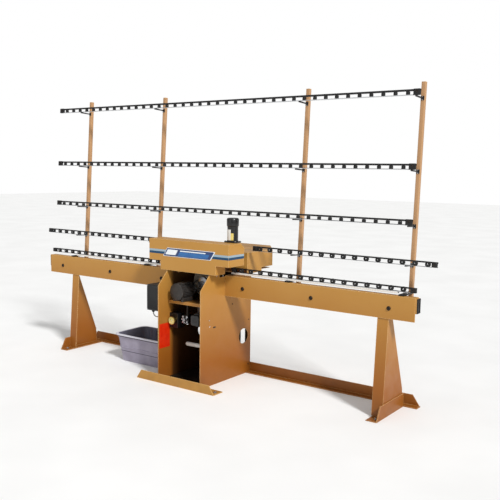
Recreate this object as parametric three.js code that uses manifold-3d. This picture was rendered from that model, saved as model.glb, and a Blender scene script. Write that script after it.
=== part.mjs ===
// Upright straight-line glass edge grinder: two roller tables, a leaning roller rack and a cabinet
// with the grinding head. Millimetres, +Z up. In the machine frame x = 0 is the middle of the
// cabinet, y = 0 the front face of the table beams and z = 0 the floor.

import * as THREE from 'three';
import { mergeVertices } from 'three/addons/utils/BufferGeometryUtils.js';
import Module from 'manifold-3d';

const wasm = await Module();
wasm.setup();

const gap = 0.3; // clearance left between pieces that touch

// Overall
const cabinetWidth = 370;
const beamTop = 723; // top of the table beams above the floor

// Cabinet
const sheet = 5; // side panel, shelf and partition thickness
const panelFront = -254;
const panelRear = 303;
const panelFrontDrop = 78; // the front edge starts to slope back this far below the beam top
const panelSlopeDepth = 96;
const panelSlopeRise = 101;
const panelHoodRise = 67; // top edge inside the hood, above the beam top
const panelHoodRear = -60;
const panelTableDrop = 8; // top edge behind the hood, below the beam top
const panelReturn = 45; // rear flange turned inwards
const hosePortRadius = 53;
const hosePortY = 218;
const hosePortZ = 272;
const partitionY = 190;
const shelfDrop = 193; // underside of the shelf below the beam top
const shelfFront = -145;
const shelfLip = 15;

// Feet, legs and floor rails
const plate = 6; // structural angle thickness
const toeFront = -303;
const toeHeight = 60;
const toeOverhang = 150; // toe plate past the cabinet on each side
const toeSlant = 40;
const toeFlange = 88;
const toeAnchorInset = 25;
const footLeftX = -1342; // outer faces of the end feet
const footRightX = 1374;
const footFront = -120;
const footRear = 250;
const footHeight = 85;
const footSlant = 45;
const footFlange = 70;
const footAnchorSetback = 45;
const legWidth = 70;
const legSheet = 5;
const legTopDepth = 56;
const legLean = 40; // foot of the leg ahead of its top
const legTaperBottom = 112;
const legRear = 240;
const floorRailRear = 306;
const floorRailHeight = 70;
const floorRailOverhang = 87; // length past the feet
const floorRailSlant = 50;
const anchorRadius = 7;

// Table beams
const beamLeftEnd = -1591;
const beamRightEnd = 1528;
const beamHeight = 139;
const beamDepth = 48;
const beamSheet = 5;
const tubeDepth = 45;
const tubeHeight = 86;
const tubeWall = 3;
const tubeOverhang = 6; // tube past the end of the beam
const endCapThickness = 6;
const endPlugLength = 12;

// Roller rails
const tableRise = 54; // top of the table wheels above the beam top
const rackFrontY = 41; // face of the rack wheels at table height
const rackLean = THREE.MathUtils.degToRad(3.41);
const wheelPitch = 76.2;
const rollerDiameter = 24; // rollers on upright pins, upper three rails
const wheelDiameter = 32; // wheels on cross pins, lower two levels
const wheelWidth = 15;
const railBarDepth = 12;
const railBarHeight = 9;
const longBarHeight = 11;
const longRailHeight = 34;
const railStrip = 2.7; // light lower strip
const endBlock = 34;
const longEndBlock = 42;
const endBlockDepth = 22;
const endBlockHeight = 36;
const endBlockRise = 2; // end block above the rail
const ladderDepth = 6; // back plate of the lower rails
const ladderPost = 12;
const rackHeights = [1115, 696, 380, 152]; // rail tops up the rack, from the table top
const longRailStart = -1586;
const longRailLength = 3048;
const splitRailLength = 1253;
const splitRailLeftStart = -1673;
const splitRailRightStart = 372;
const tableRailGap = 35; // inner ends of the table rails from the cabinet
const tableRailDrop = 3; // back of the table rails below the wheel tops
const tableRailSetback = 2; // wheels behind the rack plane
const tableRailLeftEnd = -1594;
const tableRailRightEnd = 1518;
const axleRadius = 4.5;
const axleClearance = 0.5;

// Posts and their arms
const postXs = [-1338, -552, 668, 1438];
const postSize = 25;
const postWall = 2;
const postSetback = 100; // front of the post behind the wheel plane
const postTop = 1172;
const postBottom = -127;
const armWidth = 10;
const armHeight = 8;
const armFront = 3;
const baseArmWidth = 34;
const baseArmThickness = 10;
const baseArmFront = 8;
const lowerArmDrop = 71; // lower arm below the beam top
const carrierInset = 30; // carrier strip ends short of the outer posts
const carrierDepth = 26;

// Hood and rear housing
const coverSheet = 3;
const hoodOverhang = 104; // hood past the apron on each side
const hoodFront = -170;
const hoodRear = 0;
const hoodRise = 28; // bottom of the hood above the table wheels
const hoodHeight = 145;
const hoodSlopeDepth = 42;
const hoodSlopeDrop = 33;
const hoodRearOpening = 96; // height of the open back above the hood bottom
const apronOverhang = 53; // apron past the cabinet on each side
const apronDrop = 61;
const apronDepth = 100;
const housingInset = 13; // rear housing narrower than the hood on each side
const housingFront = 52;
const housingRear = 560;
const housingCornerY = 350;
const housingCornerX = 160;
const housingDrop = 70; // top of the rear housing below the hood top
const housingHeight = 111;
const housingSkirtRear = 219;
const housingSkirtDrop = 29;
const trayHalfWidth = 260; // drip tray under the housing
const trayRear = 420;

// Glass feed unit
const feedInset = 82; // feed unit from the right end of the hood
const feedY = -20;
const feedMotorRadius = 36;
const feedMotorHeight = 98;
const feedCapRadius = 40;
const feedCapHeight = 56;
const feedFlangeWidth = 98;
const feedFlangeDepth = 74;
const feedFlangeThickness = 8;
const feedNeckRadius = 30;
const feedNeckLength = 45;
const feedShaftRadius = 8;
const feedWheelRadius = 48;
const feedWheelHeight = 34;
const feedWheelDrop = 35; // neck to wheel
const feedShaftEnd = 4; // shaft below the wheel

// Grinding drive
const grindRadius = 112;
const grindWidth = 28;
const grindFront = 18;
const grindShelfGap = 9; // grinding wheel above the shelf
const spindleX = 11;
const spindleRadius = 12;
const spindlePulleyRadius = 34;
const bearingRadius = 38;
const bearingFront = 60;
const bearingLength = 100;
const bearingFootWidth = 102;
const bearingFootThickness = 14;
const bearingWebInset = 10;
const motorInset = 93; // motor axis from the left side panel
const motorRise = 68; // motor axis above the shelf
const motorRadius = 55;
const motorFront = -185;
const motorLength = 150;
const motorFootWidth = 86;
const motorFootInset = 20;
const motorCollarWidth = 14;
const motorCollarRise = 3;
const motorShaftRadius = 9;
const motorPulleyRadius = 28;
const pulleyFront = -27;
const pulleyWidth = 22;
const pulleyFlange = 3;
const pulleyFlangeRise = 7;
const motorShaftEnd = 4; // shaft past the pulley
const spindleShaftEnd = 8;
const beltThickness = 6;

// Control box on the left side panel
const boxWidth = 155;
const boxDepth = 140;
const boxHeight = 178;
const boxFront = -190;
const boxDrop = 268; // bottom of the box below the beam top
const boxWall = 3;
const lidThickness = 6;
const buttonRadius = 11;
const buttonHeight = 6;
const stemRadius = 7;
const stemHole = 8;
const buttonTravel = 3;
const buttonInset = 32; // buttons from the cabinet
const startButtonRise = 135;
const stopButtonRise = 90;
const cableRadius = 5;
const cableY = -170;
// Distances out from the cabinet and down from the box
const cableRoute = [[120, 1], [120, 14], [112, 30], [94, 41], [68, 45], [36, 45], [1, 45]];

// Coolant side
const tubClearance = 36; // tub from the cabinet
const tubCentreY = 90;
const tubLength = 580;
const tubWidth = 336;
const tubHeight = 203;
const tubTaper = 0.87; // foot size against rim size
const tubWall = 4;
const tubCorner = 45;
const tubRim = 14;
const tubRimHeight = 10;
const gaugeInset = 33; // from the left side panel
const gaugeDrop = 133; // below the shelf
const gaugeRadius = 28;
const gaugeDepth = 20;
const gaugeFront = -162;
const valveBoxWidth = 74;
const valveBoxDepth = 70;
const valveBoxHeight = 100;
const valveInset = 120;
const valveDrop = 120;
const valveSize = 56;
const valveFront = -122;
const riserRadius = 9;
const handleBossRadius = 11;
const handleBossLength = 14;
const handleLength = 42;
const handleWidth = 9;
const handleThickness = 6;
const pumpInset = 138; // from the right side panel
const pumpDrop = 112;
const pumpRadius = 48;
const pumpFront = -142;
const pumpLength = 150;
const pumpHeadSize = 70;
const pumpHeadDepth = 26;
const hangerStart = 30;
const hangerLength = 80;
const pipeY = -50;
const pipeZ = 225;
const pipeRadius = 14;
const pipeEndInset = 72; // open end from the left side panel

// Places that follow from the sizes
const halfCabinet = cabinetWidth / 2;
const innerHalf = halfCabinet - sheet;
const panelFrontHeight = beamTop - panelFrontDrop;
const panelHoodHeight = beamTop + panelHoodRise;
const panelTableHeight = beamTop - panelTableDrop;
const toeBottomHalf = halfCabinet + toeOverhang;
const toeTopHalf = toeBottomHalf - toeSlant;
const shelfZ = beamTop - shelfDrop;
const shelfTop = shelfZ + sheet + gap;
const beamBottom = beamTop - beamHeight;
const legTaperTop = beamBottom;
const tubeTop = beamTop - beamSheet - gap;
const tubeBottom = tubeTop - tubeHeight;
const tubeFront = beamSheet + gap;
const tubeRear = tubeFront + tubeDepth;
const carrierBottom = beamTop + gap + baseArmThickness + gap;
const tableTop = beamTop + tableRise;
const tableRailInner = halfCabinet + tableRailGap;
const wheelRadius = wheelDiameter / 2;
const ladderRailHeight = wheelDiameter;
const lowerArmZ = beamTop - lowerArmDrop;
const apronHalfWidth = halfCabinet + apronOverhang;
const hoodHalfWidth = apronHalfWidth + hoodOverhang;
const hoodBottom = tableTop + hoodRise;
const hoodTop = hoodBottom + hoodHeight;
const apronBottom = hoodBottom - apronDrop;
const housingHalfWidth = hoodHalfWidth - housingInset;
const housingTop = hoodTop - housingDrop;
const housingBottom = housingTop - housingHeight;
const housingSkirtBottom = housingBottom - housingSkirtDrop;
const feedX = hoodHalfWidth - feedInset;
const spindleZ = shelfZ + sheet + grindShelfGap + grindRadius;
const motorX = motorInset - innerHalf;
const motorZ = shelfZ + sheet + motorRise;
const boxBottom = beamTop - boxDrop;
const buttonX = -halfCabinet - buttonInset;
const tubCentreX = -halfCabinet - tubClearance - tubLength / 2;
const gaugeX = gaugeInset - innerHalf;
const gaugeZ = shelfZ - gaugeDrop;
const valveX = valveInset - innerHalf;
const valveZ = shelfZ - valveDrop;
const pumpX = innerHalf - pumpInset;
const pumpZ = shelfZ - pumpDrop;
const pipeEndX = pipeEndInset - innerHalf;

// Materials

function finish(color, roughness, metalness = 0) {
  return new THREE.MeshStandardMaterial({ color, roughness, metalness, flatShading: true });
}

const tanPaint = finish(0xb98a45, 0.45);
const blackPaint = finish(0x17181a, 0.5);
const blackRubber = finish(0x101011, 0.8);
const lightStrip = finish(0xc9cbcd, 0.4, 0.6);
const whitePlastic = finish(0xe9e7e2, 0.5);
const greySteel = finish(0x6d7074, 0.4, 0.7);
const darkGrey = finish(0x35373a, 0.55);
const brightSteel = finish(0xb9bcc0, 0.3, 0.9);
const abrasive = finish(0x8d8577, 0.95);
const greyPlastic = finish(0x777683, 0.6);
const dialFace = finish(0xd9cf8e, 0.4);
const greenPlastic = finish(0x2a8a3e, 0.4);
const redPlastic = finish(0xb3221c, 0.4);

// Shapes

function outline(points) {
  return new THREE.Shape(points.map(([x, y]) => new THREE.Vector2(x, y)));
}

function extruded(shape, length) {
  return new THREE.ExtrudeGeometry(shape, { depth: length, bevelEnabled: false, curveSegments: 12 });
}

// A y-z outline run along +x.
function alongX(points, length) {
  const basis = new THREE.Matrix4().makeBasis(
    new THREE.Vector3(0, 1, 0), new THREE.Vector3(0, 0, 1), new THREE.Vector3(1, 0, 0));
  const shape = points instanceof THREE.Shape ? points : outline(points);
  return extruded(shape, length).applyMatrix4(basis);
}

// An x-z outline run along +y.
function alongY(points, length) {
  const basis = new THREE.Matrix4().makeBasis(
    new THREE.Vector3(1, 0, 0), new THREE.Vector3(0, 0, 1), new THREE.Vector3(0, -1, 0));
  const shape = points instanceof THREE.Shape ? points : outline(points);
  return extruded(shape, length).applyMatrix4(basis).translate(0, length, 0);
}

// A box from its low corner and its size.
function block(x, y, z, width, depth, height) {
  return new THREE.BoxGeometry(width, depth, height)
    .translate(x + width / 2, y + depth / 2, z + height / 2);
}

function rodX(radius, length, sides = 24) {
  return new THREE.CylinderGeometry(radius, radius, length, sides)
    .rotateZ(-Math.PI / 2).translate(length / 2, 0, 0);
}

function rodY(radius, length, sides = 24) {
  return new THREE.CylinderGeometry(radius, radius, length, sides).translate(0, length / 2, 0);
}

function rodZ(radius, length, sides = 24) {
  return new THREE.CylinderGeometry(radius, radius, length, sides)
    .rotateX(Math.PI / 2).translate(0, 0, length / 2);
}

// Joining and cutting

function toSolid(geometry) {
  const bare = geometry.clone();
  bare.deleteAttribute('normal');
  bare.deleteAttribute('uv');
  const merged = mergeVertices(bare, 1e-4);
  return new wasm.Manifold(new wasm.Mesh({
    numProp: 3,
    vertProperties: new Float32Array(merged.attributes.position.array),
    triVerts: new Uint32Array(merged.index.array),
  }));
}

function toGeometry(solid) {
  const mesh = solid.getMesh();
  const geometry = new THREE.BufferGeometry();
  geometry.setAttribute('position', new THREE.BufferAttribute(new Float32Array(mesh.vertProperties), 3));
  geometry.setIndex(new THREE.BufferAttribute(new Uint32Array(mesh.triVerts), 1));
  geometry.computeVertexNormals();
  return geometry;
}

function join(...geometries) {
  return toGeometry(geometries.map(toSolid).reduce((sum, next) => sum.add(next)));
}

function cut(geometry, ...tools) {
  return toGeometry(tools.map(toSolid).reduce((rest, tool) => rest.subtract(tool), toSolid(geometry)));
}

// The assembly

const machine = new THREE.Group();
const rack = new THREE.Group();
rack.position.set(0, rackFrontY, tableTop);
rack.rotation.x = -rackLean;
machine.add(rack);

function add(name, geometry, material, x = 0, y = 0, z = 0, parent = machine) {
  const mesh = new THREE.Mesh(geometry, material);
  mesh.name = name;
  mesh.position.set(x, y, z);
  parent.add(mesh);
  return mesh;
}

// Left-hand and right-hand pieces: side is -1 or 1, and x runs outwards from the cabinet.
const sides = [{ side: -1, word: 'left' }, { side: 1, word: 'right' }];

function lowX(side, near, length) {
  return side > 0 ? near : -near - length;
}

function sidePanel(side, word) {
  const slopeTopY = panelFront + panelSlopeDepth;
  const slopeTopZ = panelFrontHeight + panelSlopeRise;
  const flangeClear = plate + gap;
  const shape = outline([
    [toeFront + plate + toeFlange + gap, 0], [panelRear, 0], [panelRear, panelTableHeight],
    [panelHoodRear, panelTableHeight], [panelHoodRear, panelHoodHeight],
    [slopeTopY, panelHoodHeight], [slopeTopY, slopeTopZ], [panelFront, panelFrontHeight],
    [panelFront, flangeClear], [toeFront + plate + toeFlange + gap, flangeClear],
  ]);
  const port = new THREE.Path();
  port.absarc(hosePortY, hosePortZ, hosePortRadius, 0, 2 * Math.PI);
  shape.holes.push(port);
  const web = alongX(shape, sheet).translate(side > 0 ? innerHalf : -halfCabinet, 0, 0);
  const flangeX = side > 0 ? innerHalf - panelReturn + sheet : -innerHalf - sheet;
  const flange = block(flangeX, panelRear - sheet, 0, panelReturn, sheet, panelTableHeight);
  add(`${word}_side_panel`, join(web, flange), tanPaint);
}

function cabinet() {
  for (const { side, word } of sides) sidePanel(side, word);

  const lining = 2 * (innerHalf - gap);
  add('inner_partition', block(-lining / 2, 0, 0, lining, sheet, panelTableHeight), darkGrey, 0, partitionY);
  const shelfDepth = partitionY - gap - shelfFront;
  add('motor_shelf', join(
    block(-lining / 2, 0, 0, lining, shelfDepth, sheet),
    block(-lining / 2, 0, -shelfLip, lining, sheet, shelfLip + sheet / 2),
  ), tanPaint, 0, shelfFront, shelfZ);

  const upright = alongY([
    [-toeBottomHalf, 0], [toeBottomHalf, 0], [toeTopHalf, toeHeight], [-toeTopHalf, toeHeight],
  ], plate).translate(0, toeFront, 0);
  const flange = block(-toeBottomHalf, toeFront + plate / 2, 0,
    2 * toeBottomHalf, toeFlange + plate / 2, plate);
  const anchors = [-1, 1].map((end) => rodZ(anchorRadius, 3 * plate, 16)
    .translate(end * (toeBottomHalf - toeAnchorInset), toeFront + toeFlange / 2 + plate, -plate));
  add('toe_plate', cut(join(upright, flange), ...anchors), tanPaint);
}

function footAndLeg(side, word) {
  const outer = side > 0 ? footRightX : -footLeftX;
  const upright = alongX([
    [footFront, 0], [footRear, 0], [footRear, footHeight], [footFront + footSlant, footHeight],
  ], plate).translate(lowX(side, outer - plate, plate), 0, 0);
  const flange = block(lowX(side, outer - footFlange, footFlange), footFront, 0,
    footFlange, footRear - footFront, plate);
  const anchorX = lowX(side, outer - footFlange / 2 - plate, 0);
  const anchor = rodZ(anchorRadius, 3 * plate, 16).translate(anchorX, footFront + footAnchorSetback, -plate);
  add(`${word}_foot`, cut(join(upright, flange), anchor), tanPaint);

  const legOuter = outer - plate - gap;
  const legBottom = plate + gap;
  const legTop = tubeBottom - gap;
  const front = beamSheet + gap;
  const web = alongX([
    [front - legLean, legBottom], [legRear, legBottom], [legRear, legTaperBottom],
    [front + legTopDepth, legTaperTop], [front + tubeDepth, legTop], [front, legTop],
    [front, legTaperTop - gap],
  ], legSheet).translate(lowX(side, legOuter - legSheet, legSheet), 0, 0);
  const face = alongX([
    [front - legLean, legBottom], [front - legLean + legSheet, legBottom],
    [front + legSheet, legTaperTop], [front + legSheet, legTop], [front, legTop],
    [front, legTaperTop - gap],
  ], legWidth).translate(lowX(side, legOuter - legWidth, legWidth), 0, 0);
  add(`${word}_leg`, join(web, face), tanPaint);

  const start = halfCabinet + gap;
  const end = outer + floorRailOverhang;
  const railFront = footRear + gap;
  const base = block(lowX(side, start, end - start), railFront, 0,
    end - start, floorRailRear - railFront, plate);
  const wallPoints = [
    [start, 0], [end, 0], [end - floorRailSlant, floorRailHeight], [start, floorRailHeight],
  ];
  const wall = alongY(side > 0 ? wallPoints : wallPoints.map(([x, z]) => [-x, z]).reverse(), plate)
    .translate(0, floorRailRear - plate, 0);
  add(`${word}_floor_rail`, join(base, wall), tanPaint);
}

function beam(side, word) {
  const start = halfCabinet + gap;
  const end = side > 0 ? beamRightEnd : -beamLeftEnd;
  add(`${word}_beam`, alongX([
    [0, 0], [beamSheet, 0], [beamSheet, beamHeight - beamSheet], [beamDepth, beamHeight - beamSheet],
    [beamDepth, beamHeight], [0, beamHeight],
  ], end - start), tanPaint, lowX(side, start, end - start), 0, beamBottom);

  const tubeLength = end + tubeOverhang - start;
  const section = outline([[0, 0], [tubeDepth, 0], [tubeDepth, tubeHeight], [0, tubeHeight]]);
  section.holes.push(outline([
    [tubeWall, tubeWall], [tubeWall, tubeHeight - tubeWall],
    [tubeDepth - tubeWall, tubeHeight - tubeWall], [tubeDepth - tubeWall, tubeWall],
  ]));
  add(`${word}_beam_tube`, alongX(section, tubeLength), tanPaint,
    lowX(side, start, tubeLength), tubeFront, tubeBottom);

  const capStart = end + tubeOverhang + gap;
  const plugInset = tubeWall + gap;
  add(`${word}_beam_cap`, join(
    block(lowX(side, capStart, endCapThickness), tubeFront, tubeBottom,
      endCapThickness, tubeDepth, tubeHeight),
    block(lowX(side, capStart - endPlugLength, endPlugLength + 1),
      tubeFront + plugInset, tubeBottom + plugInset,
      endPlugLength + 1, tubeDepth - 2 * plugInset, tubeHeight - 2 * plugInset),
  ), blackPaint);
}

// Wheel places along a rail: whole pitches, centred.
function wheelPlaces(length) {
  const count = Math.floor((length - 2 * (endBlock + wheelRadius)) / wheelPitch) + 1;
  const first = (length - (count - 1) * wheelPitch) / 2;
  return Array.from({ length: count }, (_, i) => first + i * wheelPitch);
}

// Long rack rail: a bar between two end blocks, over rollers on upright pins.
function longRail(name, height) {
  const barY = (rollerDiameter - railBarDepth) / 2;
  const blockY = barY + railBarDepth - endBlockDepth + barY;
  const bar = block(0, barY, -longBarHeight, longRailLength, railBarDepth, longBarHeight);
  const ends = [0, longRailLength - longEndBlock].map((x) => block(
    x, blockY, endBlockRise - endBlockHeight, longEndBlock, barY + railBarDepth - blockY, endBlockHeight));
  add(`${name}_rail`, join(bar, ...ends), blackPaint, longRailStart, 0, height, rack);

  const stripTop = -longRailHeight + railStrip;
  const half = rollerDiameter / 2;
  const start = longEndBlock + gap;
  const end = longRailLength - start;
  const points = [[start, -longRailHeight], [start, stripTop]];
  for (const x of wheelPlaces(longRailLength)) {
    points.push([x - half, stripTop], [x - half, -longBarHeight - gap],
      [x + half, -longBarHeight - gap], [x + half, stripTop]);
  }
  points.push([end, stripTop], [end, -longRailHeight]);
  add(`${name}_rail_rollers`, alongY(points.reverse(), rollerDiameter), lightStrip,
    longRailStart, 0, height, rack);
}

// Outline of a row of wheels standing on a thin strip, wheel tops at z = 0.
function wheelRowOutline(start, end, places) {
  const stripTop = -ladderRailHeight + railStrip;
  const reach = Math.asin((stripTop + wheelRadius) / wheelRadius);
  const steps = 7;
  const points = [[start, -ladderRailHeight], [start, stripTop]];
  for (const x of places) {
    for (let i = 0; i <= steps; i += 1) {
      const angle = Math.PI - reach + (2 * reach - Math.PI) * (i / steps);
      points.push([x + wheelRadius * Math.cos(angle), -wheelRadius + wheelRadius * Math.sin(angle)]);
    }
  }
  points.push([end, stripTop], [end, -ladderRailHeight]);
  return points.reverse();
}

// Back of a lower rail: two bars with an upright behind each wheel and a block at each end.
function ladderRail(length, places, top) {
  const bottom = -ladderRailHeight;
  const backY = wheelWidth + gap;
  const bars = [[bottom, railStrip], [top - railBarHeight, railBarHeight]].map(([z, height]) =>
    block(0, backY, z, length, ladderDepth, height));
  const uprights = places.map((x) =>
    block(x - ladderPost / 2, backY, bottom, ladderPost, ladderDepth, top - bottom));
  const ends = [0, length - endBlock].map((x) =>
    block(x, 0, bottom, endBlock, backY + ladderDepth, top - bottom));
  return join(...bars, ...uprights, ...ends);
}

function splitRail(word, start) {
  const places = wheelPlaces(splitRailLength);
  const height = rackHeights[3];
  const margin = endBlock + gap;
  add(`lower_${word}_rail`, ladderRail(splitRailLength, places, 0), blackPaint, start, 0, height, rack);
  add(`lower_${word}_rail_wheels`,
    alongY(wheelRowOutline(margin, splitRailLength - margin, places), wheelWidth),
    blackRubber, start, 0, height, rack);
}

// Table rail: as the lower rack rails, but the glass stands on its wheels, and the wheel next to the
// grinding head is a piece of its own on a stub axle.
function tableRail(side, word) {
  const start = side > 0 ? tableRailInner : tableRailLeftEnd;
  const length = side > 0 ? tableRailRightEnd - tableRailInner : -tableRailInner - tableRailLeftEnd;
  const places = wheelPlaces(length);
  const free = side > 0 ? places[0] : places[places.length - 1];
  const row = places.filter((x) => x !== free);
  const wheelY = rackFrontY - wheelWidth - tableRailSetback;
  const axle = rodY(axleRadius, wheelWidth + gap + ladderDepth / 2, 16).translate(free, 0, -wheelRadius);
  add(`table_${word}_rail`, join(ladderRail(length, places, -tableRailDrop), axle), blackPaint,
    start, wheelY, tableTop);

  const clear = wheelPitch / 2;
  const rowStart = side > 0 ? free + clear : endBlock + gap;
  const rowEnd = side > 0 ? length - endBlock - gap : free - clear;
  add(`table_${word}_rail_wheels`, alongY(wheelRowOutline(rowStart, rowEnd, row), wheelWidth),
    blackRubber, start, wheelY, tableTop);

  add(`table_wheel_${word}`, cut(
    rodY(wheelRadius, wheelWidth - gap, 24),
    rodY(axleRadius + axleClearance, 2 * wheelWidth, 16).translate(0, -wheelWidth / 2, 0),
  ), blackRubber, start + free, wheelY, tableTop - wheelRadius);

  const outerPost = side > 0 ? postXs[3] : postXs[0];
  const carrierEnd = Math.abs(outerPost) - carrierInset;
  const carrierLength = carrierEnd - tableRailInner;
  const carrierTop = tableTop - ladderRailHeight - gap;
  add(`${word}_carrier_strip`, block(
    lowX(side, tableRailInner, carrierLength), wheelY - tableRailSetback, carrierBottom,
    carrierLength, carrierDepth, carrierTop - carrierBottom,
  ), whitePlastic);
}

// Post: a square tube with an arm under each rack rail and two arms to the table beam.
function post(index) {
  const x = postXs[index];
  const half = postSize / 2;
  const section = outline([[-half, 0], [half, 0], [half, postSize], [-half, postSize]]);
  section.holes.push(outline([
    [-half + postWall, postWall], [-half + postWall, postSize - postWall],
    [half - postWall, postSize - postWall], [half - postWall, postWall],
  ]));
  const tube = extruded(section, postTop - postBottom).translate(0, postSetback, postBottom);
  const arms = rackHeights.map((height, level) => {
    const railHeight = level < 3 ? longRailHeight : ladderRailHeight;
    return block(-armWidth / 2, armFront, height - railHeight - gap - armHeight,
      armWidth, postSetback + postWall - armFront, armHeight);
  });
  const toRack = new THREE.Matrix4().makeRotationX(rackLean)
    .multiply(new THREE.Matrix4().makeTranslation(0, -rackFrontY, -tableTop));
  const bases = [[baseArmFront, beamTop + gap], [tubeRear + gap, lowerArmZ]].map(([front, z]) =>
    block(-baseArmWidth / 2, front, z, baseArmWidth, rackFrontY + postSetback - front, baseArmThickness)
      .applyMatrix4(toRack));
  add(`post_${index + 1}`, join(tube, ...arms, ...bases), tanPaint, x, 0, 0, rack);
}

function covers() {
  const wall = coverSheet;
  const sectionAt = (inset) => [
    [hoodFront + inset, hoodBottom - (inset ? 1 : 0)],
    [hoodRear - inset, hoodBottom - (inset ? 1 : 0)],
    [hoodRear - inset, hoodTop - hoodSlopeDrop],
    [hoodRear - hoodSlopeDepth - inset / 2, hoodTop - inset],
    [hoodFront + inset, hoodTop - inset],
  ];
  const shell = cut(
    alongX(sectionAt(0), 2 * hoodHalfWidth).translate(-hoodHalfWidth, 0, 0),
    alongX(sectionAt(wall), 2 * (hoodHalfWidth - wall)).translate(-hoodHalfWidth + wall, 0, 0),
    block(-hoodHalfWidth - 1, hoodRear - wall - 1, hoodBottom - 1,
      2 * hoodHalfWidth + 2, wall + 2, hoodRearOpening + 1),
  );
  const apronHeight = hoodBottom - apronBottom + wall;
  const apron = join(
    block(-apronHalfWidth, hoodFront, apronBottom, 2 * apronHalfWidth, wall, apronHeight),
    block(-apronHalfWidth, hoodFront, apronBottom, wall, apronDepth, apronHeight),
    block(apronHalfWidth - wall, hoodFront, apronBottom, wall, apronDepth, apronHeight),
    block(-hoodHalfWidth, hoodFront, hoodBottom, hoodOverhang + wall, apronDepth, wall),
    block(apronHalfWidth - wall, hoodFront, hoodBottom, hoodOverhang + wall, apronDepth, wall),
  );
  const neckHole = rodZ(feedNeckRadius + 1, hoodTop)
    .translate(feedX, feedY, hoodBottom + hoodRearOpening / 2);
  add('hood', cut(join(shell, apron), neckHole), tanPaint);

  const plan = (inset) => {
    const half = housingHalfWidth - inset;
    const corner = half - housingCornerX + inset / 2;
    return outline([
      [-half, housingFront + inset], [half, housingFront + inset], [half, housingCornerY],
      [corner, housingRear - inset], [-corner, housingRear - inset], [-half, housingCornerY],
    ]);
  };
  const lid = extruded(plan(0), housingHeight).translate(0, 0, housingBottom);
  const hollow = extruded(plan(wall), housingHeight).translate(0, 0, housingBottom - wall);
  const skirtHeight = housingBottom - housingSkirtBottom + wall;
  const skirtDepth = housingSkirtRear - housingFront;
  const skirts = [-housingHalfWidth, housingHalfWidth - wall].map((x) =>
    block(x, housingFront, housingSkirtBottom, wall, skirtDepth, skirtHeight));
  const tray = join(
    block(-housingHalfWidth, housingFront, housingSkirtBottom, 2 * housingHalfWidth, skirtDepth, wall),
    block(-trayHalfWidth, housingFront, housingSkirtBottom, 2 * trayHalfWidth, trayRear - housingFront, wall),
  );
  add('rear_housing', join(cut(lid, hollow), ...skirts, tray), tanPaint);
}

function feedUnit() {
  const flangeZ = hoodTop + gap;
  const bodyZ = flangeZ + feedFlangeThickness;
  add('feed_motor', join(
    block(-feedFlangeWidth / 2, -feedFlangeDepth / 2, flangeZ,
      feedFlangeWidth, feedFlangeDepth, feedFlangeThickness),
    rodZ(feedMotorRadius, feedMotorHeight + 1).translate(0, 0, bodyZ - 1),
    rodZ(feedCapRadius, feedCapHeight).translate(0, 0, bodyZ + feedMotorHeight - 1),
    rodZ(feedNeckRadius, feedNeckLength + 2).translate(0, 0, flangeZ - feedNeckLength),
  ), blackPaint, feedX, feedY);

  const shaftTop = flangeZ - feedNeckLength - gap;
  const wheelTop = shaftTop - feedWheelDrop;
  add('feed_wheel', join(
    rodZ(feedShaftRadius, feedWheelDrop + feedWheelHeight + feedShaftEnd, 16)
      .translate(0, 0, wheelTop - feedWheelHeight - feedShaftEnd),
    rodZ(feedWheelRadius, feedWheelHeight, 32).translate(0, 0, wheelTop - feedWheelHeight),
  ), blackRubber, feedX, feedY);
}

// Flanged pulley on a shaft along +y; the shaft starts at shaftStart and ends at shaftEnd.
function pulley(radius, shaftRadius, shaftStart, shaftEnd) {
  const rim = radius + pulleyFlangeRise;
  const back = pulleyFront + pulleyWidth;
  return join(
    rodY(shaftRadius, shaftEnd - shaftStart).translate(0, shaftStart, 0),
    rodY(radius, pulleyWidth).translate(0, pulleyFront, 0),
    rodY(rim, pulleyFlange).translate(0, pulleyFront, 0),
    rodY(rim, pulleyFlange).translate(0, back - pulleyFlange, 0),
  );
}

// Belt outline round both pulleys, with the given distance outside the grooves.
function beltLoop(offset) {
  const first = motorPulleyRadius + offset;
  const second = spindlePulleyRadius + offset;
  const runX = spindleX - motorX;
  const runZ = spindleZ - motorZ;
  const heading = Math.atan2(runZ, runX);
  const spread = Math.acos((first - second) / Math.hypot(runX, runZ));
  const steps = 12;
  const points = [];
  for (let i = 0; i <= steps; i += 1) {
    const angle = heading + spread + (2 * Math.PI - 2 * spread) * (i / steps);
    points.push([motorX + first * Math.cos(angle), motorZ + first * Math.sin(angle)]);
  }
  for (let i = 0; i <= steps; i += 1) {
    const angle = heading - spread + 2 * spread * (i / steps);
    points.push([spindleX + second * Math.cos(angle), spindleZ + second * Math.sin(angle)]);
  }
  return points;
}

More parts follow.
